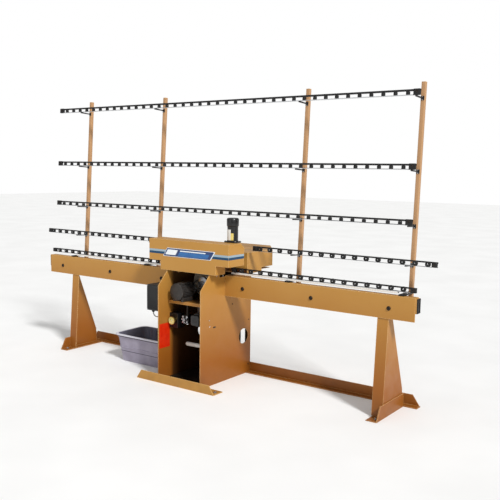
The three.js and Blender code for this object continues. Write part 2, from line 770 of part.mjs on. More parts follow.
function drive() {
  const motorRear = motorFront + motorLength;
  add('main_motor', join(
    rodY(motorRadius, motorLength, 32),
    block(-motorFootWidth / 2, motorFootInset, shelfTop - motorZ,
      motorFootWidth, motorLength - 2 * motorFootInset, motorRadius / 2),
    rodY(motorRadius + motorCollarRise, motorCollarWidth, 32),
  ), darkGrey, motorX, motorFront, motorZ);
  add('motor_pulley', pulley(
    motorPulleyRadius, motorShaftRadius, motorRear + gap, pulleyFront + pulleyWidth + motorShaftEnd,
  ), greySteel, motorX, 0, motorZ);

  const bearingRear = bearingFront + bearingLength;
  add('spindle', pulley(
    spindlePulleyRadius, spindleRadius, pulleyFront - spindleShaftEnd, bearingRear + spindleShaftEnd,
  ), brightSteel, spindleX, 0, spindleZ);
  const bore = rodY(spindleRadius + axleClearance, 2 * bearingRear).translate(0, -grindFront, 0);
  add('grinding_wheel', cut(rodY(grindRadius, grindWidth, 48).translate(0, grindFront, 0), bore),
    abrasive, spindleX, 0, spindleZ);
  add('spindle_bearing', cut(join(
    rodY(bearingRadius, bearingLength, 32).translate(0, bearingFront, 0),
    block(-bearingFootWidth / 2, bearingFront, shelfTop - spindleZ,
      bearingFootWidth, bearingLength, bearingFootThickness),
    block(-bearingRadius / 2, bearingFront + bearingWebInset, shelfTop - spindleZ + bearingWebInset,
      bearingRadius, bearingLength - 2 * bearingWebInset, spindleZ - shelfTop - bearingRadius),
  ), bore), greySteel, spindleX, 0, spindleZ);

  const beltWidth = pulleyWidth - 2 * pulleyFlange - 2 * gap;
  const loop = outline(beltLoop(axleClearance + beltThickness));
  loop.holes.push(outline(beltLoop(axleClearance).reverse()));
  add('drive_belt', alongY(loop, beltWidth), blackRubber, 0, pulleyFront + pulleyFlange + gap, 0);
}

// A round button with its stem, pressed towards +y.
function button(name, z, material) {
  const lidFront = boxFront - gap - lidThickness;
  add(name, join(
    rodY(buttonRadius, buttonHeight).translate(0, -buttonTravel - buttonHeight - gap, 0),
    rodY(stemRadius, lidThickness + buttonTravel + 1).translate(0, -buttonTravel - 1, 0),
  ), material, buttonX, lidFront, z);
}

function controlBox() {
  const left = -halfCabinet - gap - boxWidth;
  add('control_box', cut(
    block(0, 0, 0, boxWidth, boxDepth, boxHeight),
    block(boxWall, -1, boxWall, boxWidth - 2 * boxWall, boxDepth - boxWall + 1, boxHeight - 2 * boxWall),
  ), blackPaint, left, boxFront, boxBottom);

  const lidFront = boxFront - gap - lidThickness;
  const holes = [startButtonRise, stopButtonRise].map((rise) =>
    rodY(stemHole, 3 * lidThickness).translate(buttonX - left, -lidThickness, rise));
  add('control_box_lid', cut(block(0, 0, 0, boxWidth, lidThickness, boxHeight), ...holes),
    blackPaint, left, lidFront, boxBottom);
  button('start_button', boxBottom + startButtonRise, greenPlastic);
  button('stop_button', boxBottom + stopButtonRise, redPlastic);

  const route = new THREE.CatmullRomCurve3(cableRoute.map(([out, drop]) =>
    new THREE.Vector3(-halfCabinet - out, cableY, boxBottom - drop)));
  const ring = new THREE.Shape();
  ring.absarc(0, 0, cableRadius, 0, 2 * Math.PI);
  add('control_cable', new THREE.ExtrudeGeometry(ring, {
    steps: 14, curveSegments: 5, bevelEnabled: false, extrudePath: route,
  }), blackRubber);
}

// A round-cornered rectangle centred on the origin.
function roundedRectangle(length, width, corner) {
  const halfL = length / 2 - corner;
  const halfW = width / 2 - corner;
  const shape = new THREE.Shape();
  shape.absarc(halfL, halfW, corner, 0, Math.PI / 2);
  shape.absarc(-halfL, halfW, corner, Math.PI / 2, Math.PI);
  shape.absarc(-halfL, -halfW, corner, Math.PI, 1.5 * Math.PI);
  shape.absarc(halfL, -halfW, corner, 1.5 * Math.PI, 2 * Math.PI);
  return shape;
}

// A rounded block whose foot is smaller than its rim.
function taperedBlock(length, width, corner, bottom, top) {
  const geometry = new THREE.ExtrudeGeometry(roundedRectangle(length, width, corner), {
    depth: top - bottom, bevelEnabled: false, curveSegments: 4,
  }).translate(0, 0, bottom);
  const position = geometry.attributes.position;
  for (let i = 0; i < position.count; i += 1) {
    const scale = tubTaper + (1 - tubTaper) * (position.getZ(i) / tubHeight);
    position.setX(i, position.getX(i) * scale);
    position.setY(i, position.getY(i) * scale);
  }
  return geometry;
}

function tub() {
  const bodyLength = tubLength - 2 * tubRim;
  const bodyWidth = tubWidth - 2 * tubRim;
  const outer = taperedBlock(bodyLength, bodyWidth, tubCorner, 0, tubHeight);
  const inner = taperedBlock(bodyLength - 2 * tubWall, bodyWidth - 2 * tubWall, tubCorner - tubWall,
    tubWall, tubHeight + 5);
  const rim = new THREE.ExtrudeGeometry(roundedRectangle(tubLength, tubWidth, tubCorner + tubRim), {
    depth: tubRimHeight, bevelEnabled: false, curveSegments: 4,
  }).translate(0, 0, tubHeight - tubRimHeight);
  add('coolant_tub', cut(join(outer, rim), inner), greyPlastic, tubCentreX, tubCentreY);
}

function coolant() {
  const boxY = gaugeFront + gaugeDepth + gap;
  const boxRight = -innerHalf + gap + valveBoxWidth;
  add('gauge', rodY(gaugeRadius, gaugeDepth, 32), dialFace, gaugeX, gaugeFront, gaugeZ);
  add('valve_block', join(
    block(-innerHalf + gap - valveX, boxY - valveFront, gaugeZ - valveZ - valveBoxHeight / 2,
      valveBoxWidth, valveBoxDepth, valveBoxHeight),
    block(-valveSize / 2, 0, -valveSize / 2, valveSize, valveSize, valveSize),
    rodZ(riserRadius, shelfZ - gap - valveZ - valveSize / 2 + 1, 16)
      .translate(0, valveSize / 2, valveSize / 2 - 1),
    rodX(riserRadius, valveX - valveSize / 2 - boxRight + 2, 16)
      .translate(boxRight - valveX - 1, valveSize / 2, 0),
  ), blackPaint, valveX, valveFront, valveZ);
  add('valve_handle', join(
    rodY(handleBossRadius, handleBossLength),
    block(0, 0, -handleWidth / 2, handleLength, handleThickness, handleWidth),
  ), redPlastic, valveX, valveFront - gap - handleBossLength, valveZ);

  const hangerTop = shelfZ - gap - pumpZ;
  add('coolant_pump', join(
    rodY(pumpRadius, pumpLength, 32),
    block(-pumpHeadSize / 2, -pumpHeadDepth, -pumpHeadSize / 2,
      pumpHeadSize, pumpHeadDepth + 1, pumpHeadSize),
    block(-pumpRadius / 2, hangerStart, pumpRadius / 2,
      pumpRadius, hangerLength, hangerTop - pumpRadius / 2),
  ), blackPaint, pumpX, pumpFront + pumpHeadDepth, pumpZ);

  add('drain_pipe', rodX(pipeRadius, innerHalf - gap - pipeEndX), whitePlastic, pipeEndX, pipeY, pipeZ);
}

cabinet();
for (const { side, word } of sides) {
  footAndLeg(side, word);
  beam(side, word);
  tableRail(side, word);
}
['top', 'upper', 'middle'].forEach((name, level) => longRail(name, rackHeights[level]));
splitRail('left', splitRailLeftStart);
splitRail('right', splitRailRightStart);
postXs.forEach((_, index) => post(index));
covers();
feedUnit();
drive();
controlBox();
tub();
coolant();

// The part's origin is under the middle of its outer box, on the floor.
const group = new THREE.Group();
const leftmost = Math.min(splitRailLeftStart, longRailStart, tableRailLeftEnd);
const rightmost = Math.max(
  splitRailRightStart + splitRailLength, longRailStart + longRailLength, tableRailRightEnd);
machine.position.set(-(leftmost + rightmost) / 2, -(toeFront + housingRear) / 2, 0);
group.add(machine);

export default group;
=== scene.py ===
import math
import bmesh
import bpy
from mathutils import Matrix, Vector


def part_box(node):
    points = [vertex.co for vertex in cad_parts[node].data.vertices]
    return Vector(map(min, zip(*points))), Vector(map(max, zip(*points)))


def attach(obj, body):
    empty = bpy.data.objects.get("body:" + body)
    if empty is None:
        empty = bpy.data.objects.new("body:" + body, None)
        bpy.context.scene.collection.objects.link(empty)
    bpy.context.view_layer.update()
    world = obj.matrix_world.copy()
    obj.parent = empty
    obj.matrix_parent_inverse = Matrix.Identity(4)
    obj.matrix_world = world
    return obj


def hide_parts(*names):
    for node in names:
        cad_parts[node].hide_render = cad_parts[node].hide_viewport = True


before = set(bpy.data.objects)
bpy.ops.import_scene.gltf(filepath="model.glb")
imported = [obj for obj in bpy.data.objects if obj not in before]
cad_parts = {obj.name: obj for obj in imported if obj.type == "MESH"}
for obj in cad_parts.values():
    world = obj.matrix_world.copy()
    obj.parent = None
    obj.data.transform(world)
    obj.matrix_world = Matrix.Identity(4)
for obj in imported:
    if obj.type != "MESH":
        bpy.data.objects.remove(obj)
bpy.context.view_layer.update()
print("frame loaded with", len(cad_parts), "nodes")

mm = 0.001

# small helpers for modelling; they take millimetres


def clearSelection():
    if bpy.context.object and bpy.context.object.mode != "OBJECT":
        bpy.ops.object.mode_set(mode="OBJECT")
    bpy.ops.object.select_all(action="DESELECT")


def activate(piece):
    clearSelection()
    piece.select_set(True)
    bpy.context.view_layer.objects.active = piece


def applyPlace(piece):
    activate(piece)
    bpy.ops.object.transform_apply(location=True, rotation=True, scale=True)


def placeAt(piece, place, turn=(0, 0, 0)):
    # moves and turns a piece, and takes both into its mesh
    piece.location = Vector(place) * mm
    piece.rotation_euler = turn
    applyPlace(piece)
    return piece


def applyModifier(piece, modifier):
    activate(piece)
    bpy.ops.object.modifier_apply(modifier=modifier.name)


def editFaces(piece, test):
    # opens edit mode with the faces that pass the test selected
    activate(piece)
    bpy.ops.object.mode_set(mode="EDIT")
    bpy.ops.mesh.select_mode(type="FACE")
    bpy.ops.mesh.select_all(action="DESELECT")
    mesh = bmesh.from_edit_mesh(piece.data)
    for face in mesh.faces:
        face.select_set(test(face.calc_center_median(), face.normal))
    bmesh.update_edit_mesh(piece.data)


def editEdges(piece, test):
    # opens edit mode with the edges that pass the test selected
    activate(piece)
    bpy.ops.object.mode_set(mode="EDIT")
    bpy.ops.mesh.select_mode(type="EDGE")
    bpy.ops.mesh.select_all(action="DESELECT")
    mesh = bmesh.from_edit_mesh(piece.data)
    for edge in mesh.edges:
        start, end = (vert.co for vert in edge.verts)
        edge.select_set(test((start + end) / 2, (end - start).normalized()))
    bmesh.update_edit_mesh(piece.data)


def leaveEdit():
    bpy.ops.object.mode_set(mode="OBJECT")


def bevelCorners(piece, way, width, segments):
    # rounds the long edges that run along one way, x, y or z
    editEdges(piece, lambda centre, along: abs(getattr(along, way)) > 0.9)
    bpy.ops.mesh.bevel(offset=width * mm, segments=segments)
    leaveEdit()
    return piece


def pushedField(piece, side, border, push):
    # insets the faces that look along side and moves them by push
    editFaces(piece, lambda centre, normal: normal.dot(Vector(side)) > 0.9)
    bpy.ops.mesh.inset(thickness=border * mm)
    bpy.ops.mesh.extrude_region_move(TRANSFORM_OT_translate={"value": [length * mm for length in push]})
    leaveEdit()
    return piece


def startBlock(name, low, size):
    clearSelection()
    bpy.ops.mesh.primitive_cube_add(size=1, location=[(a + s / 2) * mm for a, s in zip(low, size)])
    piece = bpy.context.object
    piece.name = name
    piece.scale = [length * mm for length in size]
    applyPlace(piece)
    return piece


def roundEdges(piece, width, segments=2, angle=40):
    modifier = piece.modifiers.new("Bevel", "BEVEL")
    modifier.width = width * mm
    modifier.segments = segments
    modifier.limit_method = "ANGLE"
    modifier.angle_limit = math.radians(angle)
    applyModifier(piece, modifier)
    return piece


def barPiece(name, low, size, edge=0.8, segments=2):
    return roundEdges(startBlock(name, low, size), edge, segments)


def raiseRings(rings):
    # extrudes the selection up through (height, half length, half width) rings
    for (z0, a0, b0), (z1, a1, b1) in zip(rings, rings[1:]):
        bpy.ops.mesh.extrude_region_move(TRANSFORM_OT_translate={"value": (0, 0, (z1 - z0) * mm)})
        bpy.ops.transform.resize(value=(a1 / a0, b1 / b0, 1), center_override=(0, 0, z1 * mm))


def turned(name, rings, place=(0, 0, 0), axis="Z", sides=32, bore=False):
    # a turned piece from (distance, radius) rings; a bored one ends on its first ring
    clearSelection()
    distance, radius = rings[0]
    bpy.ops.mesh.primitive_circle_add(
        vertices=sides, radius=radius * mm, fill_type="NOTHING" if bore else "NGON",
        location=(0, 0, distance * mm))
    piece = bpy.context.object
    piece.name = name
    applyPlace(piece)
    bpy.ops.object.mode_set(mode="EDIT")
    bpy.ops.mesh.select_mode(type="EDGE" if bore else "FACE")
    bpy.ops.mesh.select_all(action="SELECT")
    raiseRings([(d, r, r) for d, r in rings])
    bpy.ops.mesh.select_all(action="SELECT")
    bpy.ops.mesh.remove_doubles(threshold=1e-6)
    bpy.ops.mesh.normals_make_consistent(inside=False)
    leaveEdit()
    return placeAt(piece, place, {"X": (0, math.pi / 2, 0), "Y": (-math.pi / 2, 0, 0), "Z": (0, 0, 0)}[axis])


def arrayed(piece, count, step):
    modifier = piece.modifiers.new("Array", "ARRAY")
    modifier.count = count
    modifier.use_relative_offset = False
    modifier.use_constant_offset = True
    modifier.constant_offset_displace = [length * mm for length in step]
    applyModifier(piece, modifier)
    return piece


def joined(name, pieces):
    clearSelection()
    for piece in pieces:
        piece.select_set(True)
    bpy.context.view_layer.objects.active = pieces[0]
    bpy.ops.object.join()
    pieces[0].name = name
    return pieces[0]


def dress(piece, material):
    piece.data.materials.clear()
    piece.data.materials.append(material)
    return piece


def settle(piece, body, slot, *nodes, smooth=35):
    # last step of a piece: shading, the body it moves with and the node it stands for
    applyPlace(piece)
    bpy.ops.object.shade_smooth_by_angle(angle=math.radians(smooth))
    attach(piece, body)
    if nodes:
        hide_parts(*nodes)
    return piece


def hexBolt(name, place, axis, size, height, material, washer=1.7):
    # hexagon head on a washer, standing off a face towards minus the axis, or plus with a negative height
    sign = -1 if height > 0 else 1
    tall = abs(height)
    disc = turned(name, [(0, size * washer), (sign * 0.25 * tall, size * washer)], place, axis, 24)
    head = turned(name + "Head", [
        (0, size), (sign * 0.85 * tall, size), (sign * tall, 0.86 * size),
    ], place, axis, 6)
    return dress(joined(name, [dress(disc, material), dress(head, material)]), material)


# small helpers for materials


def colour(red, green, blue):
    return tuple((c / 255) ** 2.2 for c in (red, green, blue)) + (1,)


def startMaterial(name, metallic, roughness, coat=0.0):
    material = bpy.data.materials.new(name)
    material.use_nodes = True
    tree = material.node_tree
    shader = tree.nodes["Principled BSDF"]
    shader.inputs["Metallic"].default_value = metallic
    shader.inputs["Roughness"].default_value = roughness
    shader.inputs["Coat Weight"].default_value = coat
    coords = tree.nodes.new("ShaderNodeTexCoord").outputs["Object"]
    return material, tree, shader, coords


def addNoise(tree, vector, scale, detail=3, stretch=None):
    if stretch:
        mapping = tree.nodes.new("ShaderNodeMapping")
        mapping.inputs["Scale"].default_value = stretch
        tree.links.new(vector, mapping.inputs["Vector"])
        vector = mapping.outputs["Vector"]
    node = tree.nodes.new("ShaderNodeTexNoise")
    node.inputs["Scale"].default_value = scale
    node.inputs["Detail"].default_value = detail
    tree.links.new(vector, node.inputs["Vector"])
    return node.outputs["Fac"]


def addRamp(tree, factor, first, second, low=0.35, high=0.65):
    node = tree.nodes.new("ShaderNodeValToRGB")
    start, end = node.color_ramp.elements
    start.position, end.position = low, high
    start.color, end.color = first, second
    tree.links.new(factor, node.inputs["Fac"])
    return node.outputs["Color"]


def addRange(tree, factor, low, high, start=0.3, end=0.7):
    node = tree.nodes.new("ShaderNodeMapRange")
    for socket, value in (("From Min", start), ("From Max", end), ("To Min", low), ("To Max", high)):
        node.inputs[socket].default_value = value
    tree.links.new(factor, node.inputs["Value"])
    return node.outputs["Result"]


def addMath(tree, operation, first, second, third=None):
    node = tree.nodes.new("ShaderNodeMath")
    node.operation = operation
    for socket, value in zip(node.inputs, (first, second, third)):
        if isinstance(value, (int, float)):
            socket.default_value = value
        elif value is not None:
            tree.links.new(value, socket)
    return node.outputs[0]


def addMix(tree, factor, first, second, blend="MIX"):
    node = tree.nodes.new("ShaderNodeMix")
    node.data_type = "RGBA"
    node.blend_type = blend
    for socket, value in ((node.inputs[0], factor), (node.inputs[6], first), (node.inputs[7], second)):
        if isinstance(value, (int, float, tuple)):
            socket.default_value = value
        else:
            tree.links.new(value, socket)
    return node.outputs[2]


def addBump(tree, shader, height, distance, strength=1.0):
    node = tree.nodes.new("ShaderNodeBump")
    node.inputs["Distance"].default_value = distance
    node.inputs["Strength"].default_value = strength
    tree.links.new(height, node.inputs["Height"])
    tree.links.new(node.outputs["Normal"], shader.inputs["Normal"])


def addEdges(tree, radius, low=0.02, high=0.2):
    # 1 along sharp edges, 0 on flat faces
    bevel = tree.nodes.new("ShaderNodeBevel")
    bevel.samples = 4
    bevel.inputs["Radius"].default_value = radius
    geometry = tree.nodes.new("ShaderNodeNewGeometry")
    dot = tree.nodes.new("ShaderNodeVectorMath")
    dot.operation = "DOT_PRODUCT"
    tree.links.new(bevel.outputs["Normal"], dot.inputs[0])
    tree.links.new(geometry.outputs["Normal"], dot.inputs[1])
    return addRange(tree, addMath(tree, "SUBTRACT", 1, dot.outputs["Value"]), 0, 1, low, high)


def addParts(tree, vector):
    node = tree.nodes.new("ShaderNodeSeparateXYZ")
    tree.links.new(vector, node.inputs[0])
    return node.outputs


# finishes

# edge is a painted highlight colour for the sheet edges
# low is a painted shade colour for the lower faces
enamelLook = {"tan": colour(184, 135, 66), "light": colour(194, 148, 80), "deep": colour(170, 118, 50),
              "low": colour(142, 80, 24), "pale": colour(186, 144, 104), "paleDeep": colour(166, 124, 84),
              "edge": colour(236, 200, 144), "bottomDark": colour(100, 66, 34), "insideShade": colour(46, 31, 20),
              "stripeLight": colour(150, 170, 182), "stripeDark": colour(20, 66, 98)}
# bounds of the painted shade inside the cabinet
inside = {"left": -159.5 * mm, "right": 207 * mm, "top": 735 * mm, "front": -262 * mm, "rear": -228 * mm}
stripe = {"bottom": 850 * mm, "middle": 866 * mm, "top": 880 * mm, "rear": -130 * mm}


def addInsideShade(tree, coords):
    # 1 on the working faces inside the cabinet, rising towards the rear, where painted shade darkens them
    x, y, height = addParts(tree, coords)
    span = addMath(tree, "COMPARE", x, (inside["left"] + inside["right"]) / 2,
                   (inside["right"] - inside["left"]) / 2)
    below = addMath(tree, "LESS_THAN", height, inside["top"])
    behind = addRange(tree, y, 0, 0.86, inside["front"], inside["rear"])
    return addMath(tree, "MULTIPLY", addMath(tree, "MULTIPLY", span, below), behind)


def makeEnamel(name, striped=False, deep="deep", light="light", tan="tan", low="low"):
    material, tree, shader, coords = startMaterial(name, 0, 0.42, 0.05)
    shader.inputs["Specular IOR Level"].default_value = 0.3
    broad = addNoise(tree, coords, 2.6, 4)
    body = addRamp(tree, broad, enamelLook[deep], enamelLook[light], 0.25, 0.85)
    body = addMix(tree, 0.6, body, enamelLook[tan])
    marks = addNoise(tree, coords, 26, 6, (1, 1, 0.25))
    body = addMix(tree, addRange(tree, marks, 0, 0.12, 0.62, 0.74), body, enamelLook[deep])
    height = addParts(tree, coords)[2]
    # painted shade: lower faces darker and redder, as the light falls off towards the floor
    body = addMix(tree, addRange(tree, height, 0.9, 0, 0.16, 0.76), body, enamelLook[low])
    # darker and mottled in the lowest 16 cm
    floorDarkening = addMath(tree, "MULTIPLY", addRange(tree, height, 0.5, 0, 0.0, 0.16),
                    addNoise(tree, coords, 18, 5))
    body = addMix(tree, floorDarkening, body, enamelLook["bottomDark"])
    if striped:
        front = addMath(tree, "LESS_THAN", addParts(tree, coords)[1], stripe["rear"])
        for low, high, paint in (("bottom", "middle", "stripeDark"), ("middle", "top", "stripeLight")):
            band = addMath(tree, "COMPARE", height, (stripe[low] + stripe[high]) / 2,
                           (stripe[high] - stripe[low]) / 2)
            body = addMix(tree, addMath(tree, "MULTIPLY", band, front), body, enamelLook[paint])
    # painted highlight: sheet edges lightened towards the edge colour, uneven in strength
    edgeHighlight = addMath(tree, "MULTIPLY", addEdges(tree, 4 * mm),
                   addRange(tree, addNoise(tree, coords, 60), 0.5, 1.0))
    body = addMix(tree, edgeHighlight, body, enamelLook["edge"])
    # painted shade inside the cabinet, deeper towards the rear
    body = addMix(tree, addInsideShade(tree, coords), body, enamelLook["insideShade"])
    tree.links.new(body, shader.inputs["Base Color"])
    tree.links.new(addRange(tree, addNoise(tree, coords, 14, 5), 0.34, 0.52), shader.inputs["Roughness"])
    addBump(tree, shader, addNoise(tree, coords, 650, 2), 0.25 * mm, 0.35)
    return material


def makePlain(name, base, other, scale=40, roughness=(0.45, 0.6), metallic=0.0, grain=600, depth=0.2,
              coat=0.0,
              edge=None, stretch=None):
    # base and other mottled together, with a fine grain and lighter rubbed edges
    material, tree, shader, coords = startMaterial(name, metallic, roughness[0], coat)
    tone = addRamp(tree, addNoise(tree, coords, scale, 5, stretch), base, other, 0.3, 0.75)
    if edge:
        rub = addMath(tree, "MULTIPLY", addEdges(tree, 1.2 * mm),
                      addRange(tree, addNoise(tree, coords, 90), 0.1, 0.8))
        tone = addMix(tree, rub, tone, edge)
    tree.links.new(tone, shader.inputs["Base Color"])
    tree.links.new(addRange(tree, addNoise(tree, coords, scale * 0.6, 4, stretch), *roughness),
                   shader.inputs["Roughness"])
    addBump(tree, shader, addNoise(tree, coords, grain, 2, stretch), depth * mm, 0.5)
    return material


tanEnamel = makeEnamel("tanEnamel")
postEnamel = makeEnamel("postEnamel", deep="paleDeep", light="pale", tan="pale")
# the toe plate's enamel, without the painted shade on lower faces
toeEnamel = makeEnamel("toeEnamel", low="tan")
hoodEnamel = makeEnamel("hoodEnamel", striped=True)
# painted shade: the inner partition is dark brown for the shade deep in the cabinet
partitionShade = makePlain("partitionShadePaint", colour(52, 40, 30), colour(78, 60, 44), 8, (0.45, 0.65),
                       edge=colour(120, 96, 70))
barBlack = makePlain("barBlackEnamel", colour(8, 8, 9), colour(18, 18, 20), 30, (0.32, 0.5),
                     edge=colour(92, 92, 94))
boxBlack = makePlain("boxBlackEnamel", colour(7, 7, 9), colour(15, 15, 18), 20, (0.35, 0.5), grain=380,
                     depth=0.35,
                     edge=colour(80, 80, 84))
mouldedBlack = makePlain("mouldedBlackPlastic", colour(8, 8, 9), colour(18, 18, 20), 60, (0.42, 0.58),
                         grain=900)
leadGrey = makePlain("leadGreySheath", colour(136, 134, 132), colour(164, 162, 158), 60, (0.4, 0.55))
treadBlack = makePlain("treadRubber", colour(12, 12, 13), colour(26, 25, 25), 70, (0.62, 0.82), grain=450,
                       depth=0.3)
hubBlack = makePlain("hubNylon", colour(18, 18, 19), colour(34, 34, 35), 50, (0.4, 0.55))
stripAluminium = makePlain("stripAluminium", colour(188, 190, 193), colour(216, 218, 220), 12, (0.26, 0.42),
                           0.85, 300, 0.1,
                           stretch=(0.05, 6, 6))
guideWhite = makePlain("guideWhitePlastic", colour(226, 224, 218), colour(242, 241, 236), 18, (0.35, 0.5),
                       stretch=(0.1, 4, 4))
motorGrey = makePlain("motorGreyEnamel", colour(40, 37, 35), colour(60, 55, 51), 22, (0.42, 0.6), 0.1, 280,
                      0.5,
                      edge=colour(140, 140, 142))
motorBlack = makePlain("motorBlackEnamel", colour(8, 8, 9), colour(18, 18, 20), 30, (0.28, 0.42), coat=0.2,
                       edge=colour(84, 84, 86))
turnedSteel = makePlain("turnedSteel", colour(148, 150, 153), colour(192, 194, 197), 40, (0.2, 0.36), 0.95,
                        500, 0.08)
zincPlate = makePlain("zincPlate", colour(178, 180, 182), colour(220, 221, 222), 120, (0.18, 0.32), 0.95, 700,
                      0.06)
darkSteel = makePlain("darkSteel", colour(38, 33, 30), colour(62, 54, 47), 80, (0.35, 0.55), 0.7, 500, 0.1,
                      edge=colour(130, 118, 104))
beltBlack = makePlain("beltRubber", colour(20, 20, 20), colour(38, 38, 37), 60, (0.6, 0.8), grain=500,
                      depth=0.25)

# inner is a painted shade colour for the inside faces
# line is a painted shade colour for the bands under the rim and at the shoulder
# rim is a painted highlight colour for the top of the rim
toteLook = {"wall": colour(136, 129, 145), "wallLight": colour(160, 153, 170), "rim": colour(206, 204, 214),
            "line": colour(70, 64, 78), "inner": colour(78, 80, 96), "rimHighlightFrom": 191 * mm,
            "shadeLines": [(78 * mm, 2.4 * mm), (187 * mm, 4 * mm)]}


def makeTote(name, hollow=False):
    look = toteLook
    material, tree, shader, coords = startMaterial(name, 0, 0.5)
    body = addRamp(tree, addNoise(tree, coords, 14, 5), look["wall"], look["wallLight"], 0.3, 0.75)
    # painted shade: the inside faces darker
    if hollow:
        body = addMix(tree, 0.8, body, look["inner"])
    else:
        height = addParts(tree, coords)[2]
        # painted shade: dark bands under the rim and along a shoulder line
        for level, half in look["shadeLines"]:
            body = addMix(tree, addMath(tree, "COMPARE", height, level, half), body, look["line"])
        # painted highlight: the top of the rim lighter, where light falls on it
        body = addMix(tree, addMath(tree, "GREATER_THAN", height, look["rimHighlightFrom"]), body, look["rim"])
    tree.links.new(body, shader.inputs["Base Color"])
    tree.links.new(addRange(tree, addNoise(tree, coords, 9, 4), 0.4, 0.58), shader.inputs["Roughness"])
    addBump(tree, shader, addNoise(tree, coords, 420, 2), 0.25 * mm, 0.5)
    return material


toteGrey = makeTote("toteGreyPlastic")
toteShadedInside = makeTote("toteShadedInsidePlastic", hollow=True)
dialYellow = makePlain("dialYellow", colour(206, 194, 118), colour(226, 216, 146), 60, (0.25, 0.4), coat=0.4)
brassYellow = makePlain("brassFitting", colour(176, 138, 66), colour(206, 172, 96), 90, (0.24, 0.4), 0.9, 500,
                        0.08)
startGreen = makePlain("startGreen", colour(28, 122, 52), colour(44, 146, 66), 90, (0.25, 0.38), coat=0.4)
stopRed = makePlain("stopRed", colour(168, 28, 22), colour(196, 44, 34), 90, (0.25, 0.38), coat=0.4)
labelRed = makePlain("cautionRedVinyl", colour(204, 34, 6), colour(220, 54, 18), 34, (0.3, 0.45), grain=300)
labelWhite = makePlain("labelWhiteVinyl", colour(216, 216, 210), colour(236, 236, 232), 40, (0.3, 0.45))
labelYellow = makePlain("labelYellowVinyl", colour(206, 186, 98), colour(224, 206, 124), 40, (0.3, 0.45))
pipeWhite = makePlain("pipeWhitePlastic", colour(218, 220, 212), colour(236, 238, 232), 26, (0.3, 0.45))
badgeBlue = makePlain("badgeBlueVinyl", colour(20, 84, 146), colour(38, 108, 170), 16, (0.25, 0.4), coat=0.3,
                      stretch=(1, 1, 4))
badgeNavy = makePlain("badgeNavyVinyl", colour(16, 44, 92), colour(26, 60, 112), 16, (0.25, 0.4), coat=0.3)
badgeWhite = makePlain("badgeWhiteVinyl", colour(224, 230, 234), colour(240, 244, 246), 30, (0.25, 0.4),
                       coat=0.3)


def makeGrit():
    material, tree, shader, coords = startMaterial("gritStone", 0, 0.9)
    grains = tree.nodes.new("ShaderNodeTexVoronoi")
    grains.inputs["Scale"].default_value = 900
    tree.links.new(coords, grains.inputs["Vector"])
    body = addRamp(tree, grains.outputs["Distance"], colour(118, 112, 100), colour(164, 156, 140), 0.1, 0.8)
    wet = addNoise(tree, coords, 12, 4)
    tree.links.new(addMix(tree, addRange(tree, wet, 0, 0.4), body, colour(84, 78, 70)),
                   shader.inputs["Base Color"])
    addBump(tree, shader, grains.outputs["Distance"], 0.4 * mm, 0.7)
    return material


gritStone = makeGrit()
# dark finish for the plate on the cabinet floor
cabinetFloorDark = makePlain("cabinetFloorDarkPaint", colour(20, 16, 13), colour(44, 36, 28), 9, (0.3, 0.7), grain=240,
                      depth=0.4)
print("finishes made")

# sheet metal and structural pieces that keep their own mesh

sheetNodes = {
    toeEnamel: ["toe_plate"],
    tanEnamel: ["left_side_panel", "right_side_panel", "motor_shelf", "left_foot", "right_foot",
                "left_leg", "right_leg", "left_floor_rail", "right_floor_rail", "left_beam", "right_beam",
                "left_beam_tube", "right_beam_tube", "rear_housing"],
    hoodEnamel: ["hood"],
    partitionShade: ["inner_partition"],
    guideWhite: ["left_carrier_strip", "right_carrier_strip"],
}
sheetEdge = {"width": 0.7 * mm, "angle": math.radians(50)}
for finish, names in sheetNodes.items():
    for nodeName in names:
        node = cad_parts[nodeName]
        dress(node, finish)
        weld = node.modifiers.new("Weld", "WELD")
        weld.merge_threshold = 1e-5
        soft = node.modifiers.new("Bevel", "BEVEL")
        soft.width = sheetEdge["width"]
        soft.segments = 1
        soft.limit_method = "ANGLE"
        soft.angle_limit = sheetEdge["angle"]
print("sheet metal dressed")

# the rack leans back about the wheel plane at table height

rack = {"place": (24, -87.5, 777), "lean": math.radians(3.41)}


def leanBack(piece):
    # from the rack's own frame to the machine
    return placeAt(piece, rack["place"], (-rack["lean"], 0, 0))


# long rails: black bar over rollers on upright pins, over a light strip

longRail = {"start": -1586, "length": 3048, "pitch": 76.2, "count": 39, "width": 24,
            "bar": 12, "barTall": 11, "deep": 34, "strip": 2.7, "end": 42,
            "endDeep": 22, "endTall": 36, "endRise": 2, "roller": 12,
            "heights": {"top": 1115, "upper": 696, "middle": 380}}


